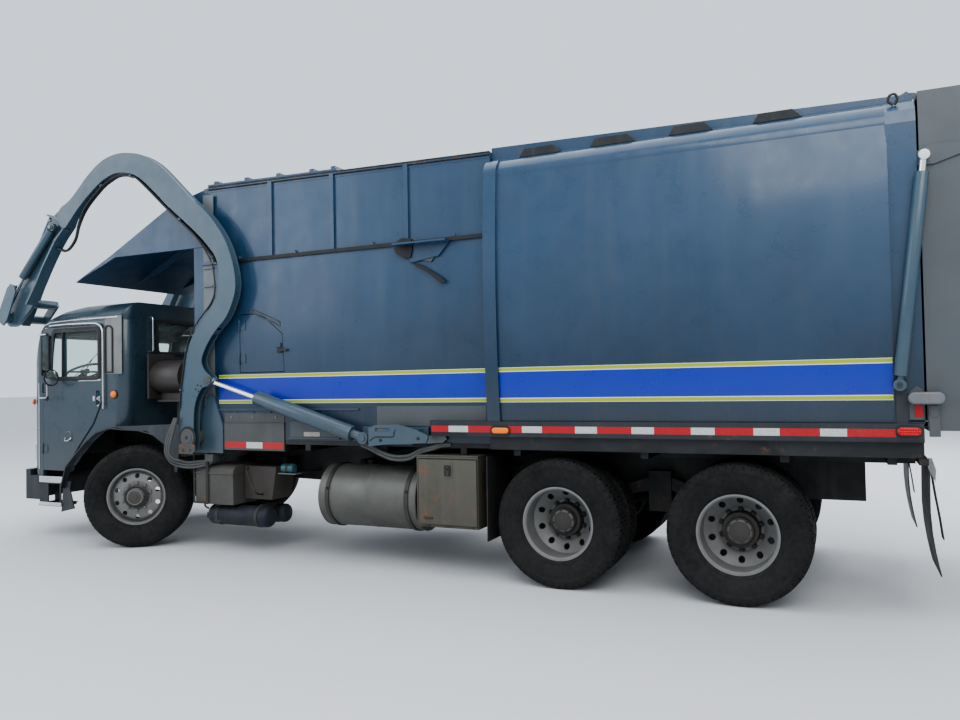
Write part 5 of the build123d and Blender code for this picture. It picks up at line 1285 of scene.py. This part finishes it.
# =============================================================================
# SEATS
# =============================================================================
def cushion(name, verts, faces, motion, pressure):
    """Upholstered block: remeshed, blown up against its own seams and finely subdivided."""
    me = bpy.data.meshes.new(name)
    me.from_pydata([P(*v) for v in verts], [], faces)
    o = bpy.data.objects.new(name, me)
    SC.collection.objects.link(o)
    bpy.context.view_layer.objects.active = o
    for q in bpy.context.selected_objects:
        q.select_set(False)
    o.select_set(True)
    bev = o.modifiers.new("round", "BEVEL")
    bev.width = 0.028
    bev.segments = 3
    rm = o.modifiers.new("skin", "REMESH")
    rm.mode = "VOXEL"
    rm.voxel_size = 0.012
    for n in ("round", "skin"):
        bpy.ops.object.modifier_apply(modifier=n)
    rest = [v.co.copy() for v in o.data.vertices]
    c = o.modifiers.new("cloth", "CLOTH")
    st = c.settings
    st.quality = 4
    st.mass = 0.4
    st.tension_stiffness = 14
    st.compression_stiffness = 14
    st.bending_stiffness = 0.6
    st.use_pressure = True
    st.uniform_pressure_force = pressure
    st.effector_weights.gravity = 0.0
    c.collision_settings.use_collision = False
    c.point_cache.frame_start = 1
    c.point_cache.frame_end = 20
    for fr in range(1, 21):
        SC.frame_set(fr)
    bpy.ops.object.modifier_apply(modifier="cloth")
    SC.frame_set(1)
    for v, r in zip(o.data.vertices, rest):
        d = v.co - r
        if d.length > motion:
            v.co = r + d.normalized() * motion
    sm = o.modifiers.new("fine", "SUBSURF")
    sm.levels = 1
    sm.render_levels = 1
    bpy.ops.object.modifier_apply(modifier="fine")
    for q in o.data.polygons:
        q.use_smooth = True
    o.data.materials.append(M["cloth"])
    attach(o, "root")
    return o


def block_verts(x0, x1, outline):
    n = len(outline)
    v = [(x0, y, z) for y, z in outline] + [(x1, y, z) for y, z in outline]
    f = [tuple(range(n))[::-1], tuple(range(n, 2 * n))]
    f += [(i, (i + 1) % n, n + (i + 1) % n, n + i) for i in range(n)]
    return v, f


for s, tag in SIDES:
    x0, x1 = sorted((s * 640 - 238, s * 640 + 238))
    v, f = block_verts(x0, x1, [(-1054, 1484), (-566, 1484), (-566, 1588), (-1054, 1592)])
    seat = cushion("seat_cushion_" + tag, v, f, 0.024, 4.0)
    v, f = block_verts(s * 640 - 228, s * 640 + 228, [(-632, 1616), (-566, 1616), (-478, 2170), (-554, 2182)])
    back = cushion("seat_back_" + tag, v, f, 0.024, 4.0)
    if s > 0:
        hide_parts("seat_cushions")
    m = Mesh()
    m.tube([(s * 640 - 150, -760, 1560), (s * 640 - 155, -820, 1588), (s * 640 - 155, -900, 1598)], 3, 6, 4)
    for q in (-222, 222):
        m.tube([(s * 640 + q, -1040, 1588), (s * 640 + q, -900, 1596), (s * 640 + q, -600, 1592)], 4, 8, 4)
        m.tube([(s * 640 + q * 0.96, -628, 1640), (s * 640 + q * 0.96, -590, 1900), (s * 640 + q * 0.96, -552, 2160)], 4, 8, 4)
    m.done("seat_piping_" + tag, "gasket", angle=60)

# =============================================================================
# HOPPER AND BODY DETAIL
# =============================================================================
for s, tag in SIDES:
    def sx(a, b):
        return tuple(sorted((s * a, s * b)))
    # front corner post and small plates on it, light grey as painted light for the sun on the hopper's front column
    m = Mesh()
    m.side([(872, 1160), (872, 3650), (1010, 3640), (1010, 1160)], *sx(1104.5, 1109))
    m.done("sunlit_front_post_" + tag, "light", bevel=1)
    m = Mesh()
    m.side([(880, 2885), (880, 2900), (1005, 2900), (1005, 2885)], *sx(1108, 1128))
    m.side([(880, 2700), (880, 2712), (1005, 2712), (1005, 2700)], *sx(1108, 1128))
    for z in range(1300, 3600, 160):
        m.rivet((s * 1109, 890, z), (s, 0, 0), 7)
    m.done("post_plates_" + tag, "light", bevel=1)
    # rails on the rim of the hopper, and a black strip along the ledge as its painted shadow line
    m = Mesh()
    m.side([(930, 3724), (4088, 3660), (4088, 3672), (930, 3736)], *sx(1062, 1088))
    m.side([(930, 3700), (4088, 3636), (4088, 3645), (930, 3709)], *sx(1080, 1100))
    m.done("hopper_rim_rail_" + tag, "dark", bevel=1.5)
    # black strip along the ledge: painted shadow
    m = Mesh()
    m.side([(1062, 2923), (4087, 2923), (4087, 2957), (1062, 2957)], *sx(1125, 1128))
    m.done("ledge_shadow_line_" + tag, "gasket", bevel=1)
    # welded pads along the ledge
    m = Mesh()
    for y in (1290, 1980, 2860, 3700):
        m.side([(y, 2956), (y + 60, 2956), (y + 45, 2990), (y + 15, 2990)], *sx(1080, 1104))
    m.side([(1640, 2960), (1700, 2960), (1690, 3060), (1650, 3060)], *sx(1079, 1086))
    m.done("ledge_pads_" + tag, "hopper", bevel=2)
    # roof scoops of the rear body, near-black as painted shade
    for k, (a, b) in enumerate(((4371, 4742), (4988, 5363), (5621, 5958), (6245, 6588))):
        m = Mesh()
        m.side([(a - 1.5, 3572), (b + 1.5, 3572), (b - 66, 3641.5), (a + 43, 3641.5)], *sx(1032.5, 1099))
        m.done("roof_scoop_%s_%d" % (tag, k), "shield", bevel=3)
    # marker lamp with its rubber
    m = Mesh()
    m.side(fillet([(4120, 1236), (4300, 1236), (4300, 1314), (4120, 1314)], 38, 8), *sx(1240, 1247))
    m.done("marker_rubber_" + tag, "gasket", bevel=2)
    m = Mesh()
    m.loops([[P(s * x, y, z) for y, z in fillet(inset([(4120, 1236), (4300, 1236), (4300, 1314), (4120, 1314)], d),
                                               38 - d * 0.9, 8)] for x, d in ((1244, 14), (1254, 16), (1260, 24))])
    m.done("marker_lamp_" + tag, "amber", bevel=2)
    # tail lamp in a red grille
    m = Mesh()
    oval = fillet([(7119, 1261), (7281, 1261), (7281, 1334), (7119, 1334)], 36, 8)
    m.side(oval, *sx(1240, 1252))
    m.done("tail_lamp_rubber_" + tag, "gasket", bevel=2)
    m = Mesh()
    m.loops([[P(s * x, y, z) for y, z in fillet(inset([(7119, 1261), (7281, 1261), (7281, 1334), (7119, 1334)], d),
                                               36 - d * 0.9, 8)] for x, d in ((1246, 7), (1257, 9), (1262, 16))])
    m.done("tail_lamp_" + tag, "redlens", bevel=1)
    m = Mesh()
    for k in range(9):
        for z in (1281, 1298, 1315):
            if z == 1298 or 0 < k < 8:
                m.cyl((s * 1261, 7140 + k * 15, z), (s * 1264, 7140 + k * 15, z), 4.6, 10, r2=3.0)
    m.done("tail_lamp_diodes_" + tag, "reddot")
    # bumper bar over the rear post, reflectors beside it
    m = Mesh()
    bar = fillet([(7195, 1480), (7413, 1480), (7413, 1563), (7195, 1563)], 40, 8)
    m.loops([[P(s * x, y, z) for y, z in inset(bar, d)] for x, d in ((1232, 0), (1290, 0), (1301, 4), (1306, 12))])
    m.done("side_bar_" + tag, "light", "tailgate")
    m = Mesh()
    m.side(fillet([(7238, 1394), (7284, 1394), (7284, 1475), (7238, 1475)], 6, 3), *sx(1214, 1222))
    m.done("reflector_" + tag, "redlens", "tailgate", bevel=1.5)
    m = Mesh()
    m.side([(7320, 1261), (7386, 1261), (7386, 1475), (7320, 1475)], *sx(1204, 1222))
    m.side(fillet([(7328, 1394), (7375, 1394), (7375, 1470), (7328, 1470)], 6, 3), *sx(1221, 1228))
    m.done("side_lug_" + tag, "faded_and_sunlit", "tailgate", bevel=2)
    m = Mesh()
    m.box(sx(1150, 1212), (7200, 7330), (1360, 1372))
    m.side([(7206, 1376), (7290, 1376), (7290, 1580), (7250, 1600), (7206, 1560)], *sx(1206, 1215))
    m.done("side_gusset_" + tag, "faded_and_sunlit", "tailgate", bevel=2)
    m = Mesh()
    m.tube([(s * 1150, 7170, 3545), (s * 1150, 7142, 3575), (s * 1150, 7150, 3612), (s * 1150, 7184, 3618),
            (s * 1150, 7198, 3585), (s * 1150, 7182, 3545)], 9, 10, 6)
    m.done("hoist_ring_" + tag, "gasket")
    # hanging flap, bowed by its own weight, with a shorter strip behind it
    m = Mesh()
    line = [(7318, 1100), (7313, 1010), (7310, 880), (7309, 754), (7318, 610), (7334, 490), (7350, 400), (7364, 332)]
    m.side([(y - 4, z) for y, z in line] + [(y + 5, z) for y, z in reversed(line)], *sx(646, 1208))
    m.done("flap_rear_" + tag, "flap", bevel=1, angle=50, replaces=("mud_flaps",) if s > 0 else ())
    m = Mesh()
    line = [(7330, 1100), (7328, 1015), (7347, 863), (7368, 720), (7385, 576)]
    m.side([(y - 3, z) for y, z in line] + [(y + 4, z) for y, z in reversed(line)], *sx(1100, 1208))
    m.done("flap_strip_" + tag, "flap", bevel=1, angle=50)
    m = Mesh()
    m.side([(7302, 1118), (7330, 1118), (7352, 1040), (7346, 962), (7326, 1000), (7306, 1050)], *sx(1196, 1214))
    for z in (1086, 1052, 1018):
        m.bolt((s * 1214, 7324, z), (s, 0, 0), 6, 6)
    m.done("flap_bracket_" + tag, "bare", bevel=1.5)
    m = Mesh()
    m.side([(4060, 340), (4066, 340), (4070, 700), (4072, 1054), (4064, 1054), (4060, 700)], *sx(646, 1212))
    m.box(sx(436, 658), (4059, 4081), (902, 928))
    m.done("flap_mid_" + tag, "flap", bevel=1, angle=50)
    # seam lines and hinges of the access door
    if s > 0:
        m = Mesh()
        m.tube([(1110, 1494, 2447), (1113, 1830, 2305)], 6, 8, 2)
        m.tube([(1110, 1486, 2415), (1113, 1815, 2272)], 6, 8, 2)
        m.side([(1478, 2404), (1510, 2396), (1510, 2446), (1488, 2458)], 1104, 1111)
        m.side([(1808, 2262), (1838, 2254), (1842, 2302), (1818, 2314)], 1104, 1111)
        m.done("access_bars", "armlow", "access_door", bevel=1)
        m = Mesh()
        m.side(fillet([(1800, 1998), (1862, 1998), (1862, 2052), (1800, 2052)], 12, 4), 1104, 1112)
        m.cyl((1110, 1846, 2026), (1128, 1846, 2026), 11, 16)
        m.side(fillet([(1834, 2014), (1934, 2014), (1934, 2038), (1834, 2038)], 10, 4), 1122, 1130)
        m.done("access_latch", "dark", "access_door", bevel=2)
# bearer boxes with reflective tape
for s, tag in SIDES:
    a, b = sorted((s * 1104.5, s * 1118))
    m = Mesh()
    m.side([(1131, 1045), (1881, 1045), (1881, 1316), (1131, 1316)], a, b)
    m.side([(1131, 1310), (1881, 1310), (1881, 1414), (1131, 1414)], *sorted((s * 1104.5, s * 1110)))
    m.side([(1126, 1312), (1886, 1312), (1886, 1320), (1126, 1320)], *sorted((s * 1104.5, s * 1122)))
    m.done("side_box_" + tag, "sidebox", bevel=2)
    m = Mesh()
    for y in (1224, 1498, 1780):
        m.bolt((s * 1110, y, 1374), (s, 0, 0), 9, 8)
    m.done("side_box_bolts_" + tag, "nut")
    m = Mesh()
    for u0, u1 in ((1143, 1418), (1618, 1868)):
        m.side([(u0, 1066), (u1, 1066), (u1, 1127), (u0, 1127)], *sorted((s * 1118, s * 1119.2)))
    m.done("side_box_tape_red_" + tag, "tapered")
    m = Mesh()
    m.side([(1418, 1066), (1618, 1066), (1618, 1127), (1418, 1127)], *sorted((s * 1118, s * 1119.2)))
    m.done("side_box_tape_white_" + tag, "tapewhite")
    m = Mesh()
    m.side([(1947, 1168), (2525, 1168), (2525, 1333), (1947, 1333)], *sorted((s * 1104.5, s * 1111)))
    m.side([(1947, 1168), (2525, 1168), (2525, 1180), (1947, 1180)], *sorted((s * 1104.5, s * 1126)))
    m.done("side_beam_" + tag, "slategrey", bevel=2)
    m = Mesh()
    m.side(fillet([(2112, 1191), (2298, 1191), (2298, 1234), (2112, 1234)], 10, 3), *sorted((s * 1111, s * 1114)))
    m.done("side_beam_label_" + tag, "cream", bevel=1)
    m = Mesh()
    m.side([(914, 1577), (1133, 1243), (1120, 1203), (962, 1201)], *sorted((s * 1112, s * 1126)))
    m.done("pivot_cheek_" + tag, "hopper", bevel=2)
    # groove of the lift cylinder's bracket, sill end plate, worn patch and lines
    m = Mesh()
    m.tube([(s * 1262, 2947, 1173), (s * 1262, 3000, 1205), (s * 1262, 3090, 1209), (s * 1262, 3185, 1212),
            (s * 1262, 3200, 1244), (s * 1262, 3212, 1274)], 5, 8, 5)
    for y, z in ((3060, 1180), (3440, 1200)):
        m.lathe((s * 1262, y, z), (s, 0, 0), [(0, 14), (4, 14), (6, 11), (6, 0.001)], 20)
    m.done("lift_bracket_beads_" + tag, "gasket", angle=50)
    m = Mesh()
    m.side([(3456, 1145), (3615, 1156), (3655, 1190), (3640, 1216), (3470, 1216)], *sorted((s * 1118, s * 1136)))
    m.done("sill_end_" + tag, "light", bevel=2)
    m = Mesh()
    m.side([(2929, 1300), (4021, 1300), (4021, 1476), (2929, 1476)], *sorted((s * 1098.5, s * 1106)))
    m.done("lower_patch_" + tag, "faded_and_sunlit", bevel=1)
    m = Mesh()
    for k in range(2):
        m.tube([(s * 1140, 2780, 1118 + 26 * k), (s * 1150, 2864, 1095 + 26 * k), (s * 1152, 3000, 1036 + 28 * k),
                (s * 1152, 3128, 1000 + 30 * k), (s * 1152, 3280, 1008 + 30 * k), (s * 1150, 3400, 1066 + 24 * k),
                (s * 1142, 3500, 1094 + 20 * k), (s * 1130, 3595, 1122 + 16 * k), (s * 1100, 3680, 1130 + 14 * k)],
               15, 10, 7)
    m.done("side_lines_" + tag, "hosegrey", angle=60)
    # striker of the arm on the ledge: dark box, fin and slanting stay
    m = Mesh()
    m.side([(3151, 2905), (3194, 2965), (3247, 2987), (3339, 2970), (3347, 2870), (3325, 2800), (3243, 2807), (3182, 2848)], *sorted((s * 1122, s * 1146)))
    m.side([(3310, 2764), (3520, 2641), (3638, 2545), (3677, 2568), (3619, 2616), (3422, 2737)], *sorted((s * 1136, s * 1146)))
    m.done("ledge_striker_" + tag, "gasket", bevel=2)
    m = Mesh()
    m.side([(3333, 2972), (3684, 2904), (3614, 2884), (3522, 2750), (3320, 2802)], *sorted((s * 1100, s * 1122)))
    m.done("ledge_fin_" + tag, "armlow", bevel=2)
# lower edge angle under the hopper's side with bolts
m = Mesh()
for s in (1, -1):
    a, b = sorted((s * 1105, s * 1122))
    m.side([(1000, 1440), (2740, 1440), (2740, 1456), (1000, 1456)], a, b)
    for y in range(1080, 2700, 210):
        m.bolt((s * 1105, y, 1420), (s, 0, 0), 9, 8)
m.done("hopper_edge_angle", "bodyplain", bevel=1.5)

# stage, light and camera -----------------------------------------------------
floor = bpy.data.meshes.new("floor")
floor.from_pydata([(-150, -150, 0), (150, -150, 0), (150, 150, 0), (-150, 150, 0)], [], [(0, 1, 2, 3)])
fo = bpy.data.objects.new("floor", floor)
SC.collection.objects.link(fo)
gf = Graph("studio_floor")
gf.bsdf.inputs["Base Color"].default_value = (0.62, 0.63, 0.64, 1)
gf.bsdf.inputs["Roughness"].default_value = 0.75
floor.materials.append(gf.mat)

world = bpy.data.worlds.new("studio")
world.use_nodes = True
world.node_tree.nodes["Background"].inputs[0].default_value = (0.84, 0.91, 1.0, 1)
world.node_tree.nodes["Background"].inputs[1].default_value = 1.0
SC.world = world


def area(name, at, to, size, power, color=(1, 1, 1)):
    l = bpy.data.lights.new(name, "AREA")
    l.shape = "RECTANGLE"
    l.size, l.size_y = size
    l.energy = power
    l.color = color
    o = bpy.data.objects.new(name, l)
    o.location = at
    o.rotation_euler = (Vector(to) - Vector(at)).to_track_quat("-Z", "Y").to_euler()
    SC.collection.objects.link(o)


area("key", (12, 6, 11), (0, 0, 1.5), (12, 8), 1100, (1.0, 0.99, 0.97))
area("fill", (10, -12, 7), (0, 0, 1.5), (10, 8), 450, (0.93, 0.96, 1.0))
area("back", (-12, 4, 10), (0, 0, 1.5), (12, 8), 900, (0.95, 0.97, 1.0))
area("top", (0, 0, 14), (0, 0, 0), (14, 14), 900)

cam = bpy.data.cameras.new("camera")
cam.lens = 29.535
cam.sensor_width = 36.0
cam.clip_end = 400
co = bpy.data.objects.new("camera", cam)
SC.collection.objects.link(co)
yaw, pitch, roll = math.radians(24.597), math.radians(1.477), math.radians(-1.071)
fw = Vector((-cos(yaw) * cos(pitch), -sin(yaw) * cos(pitch), sin(pitch)))
right = fw.cross(Vector((0, 0, 1))).normalized()
up = right.cross(fw)
r2 = right * cos(roll) + up * sin(roll)
u2 = up * cos(roll) - right * sin(roll)
rot = Matrix((r2, u2, -fw)).transposed().to_4x4()
co.matrix_world = Matrix.Translation((7.263, 6.793 + Y0 / 1000.0, 1.695)) @ rot
SC.camera = co
SC.view_settings.view_transform = "AgX"
SC.view_settings.look = "AgX - Medium High Contrast"
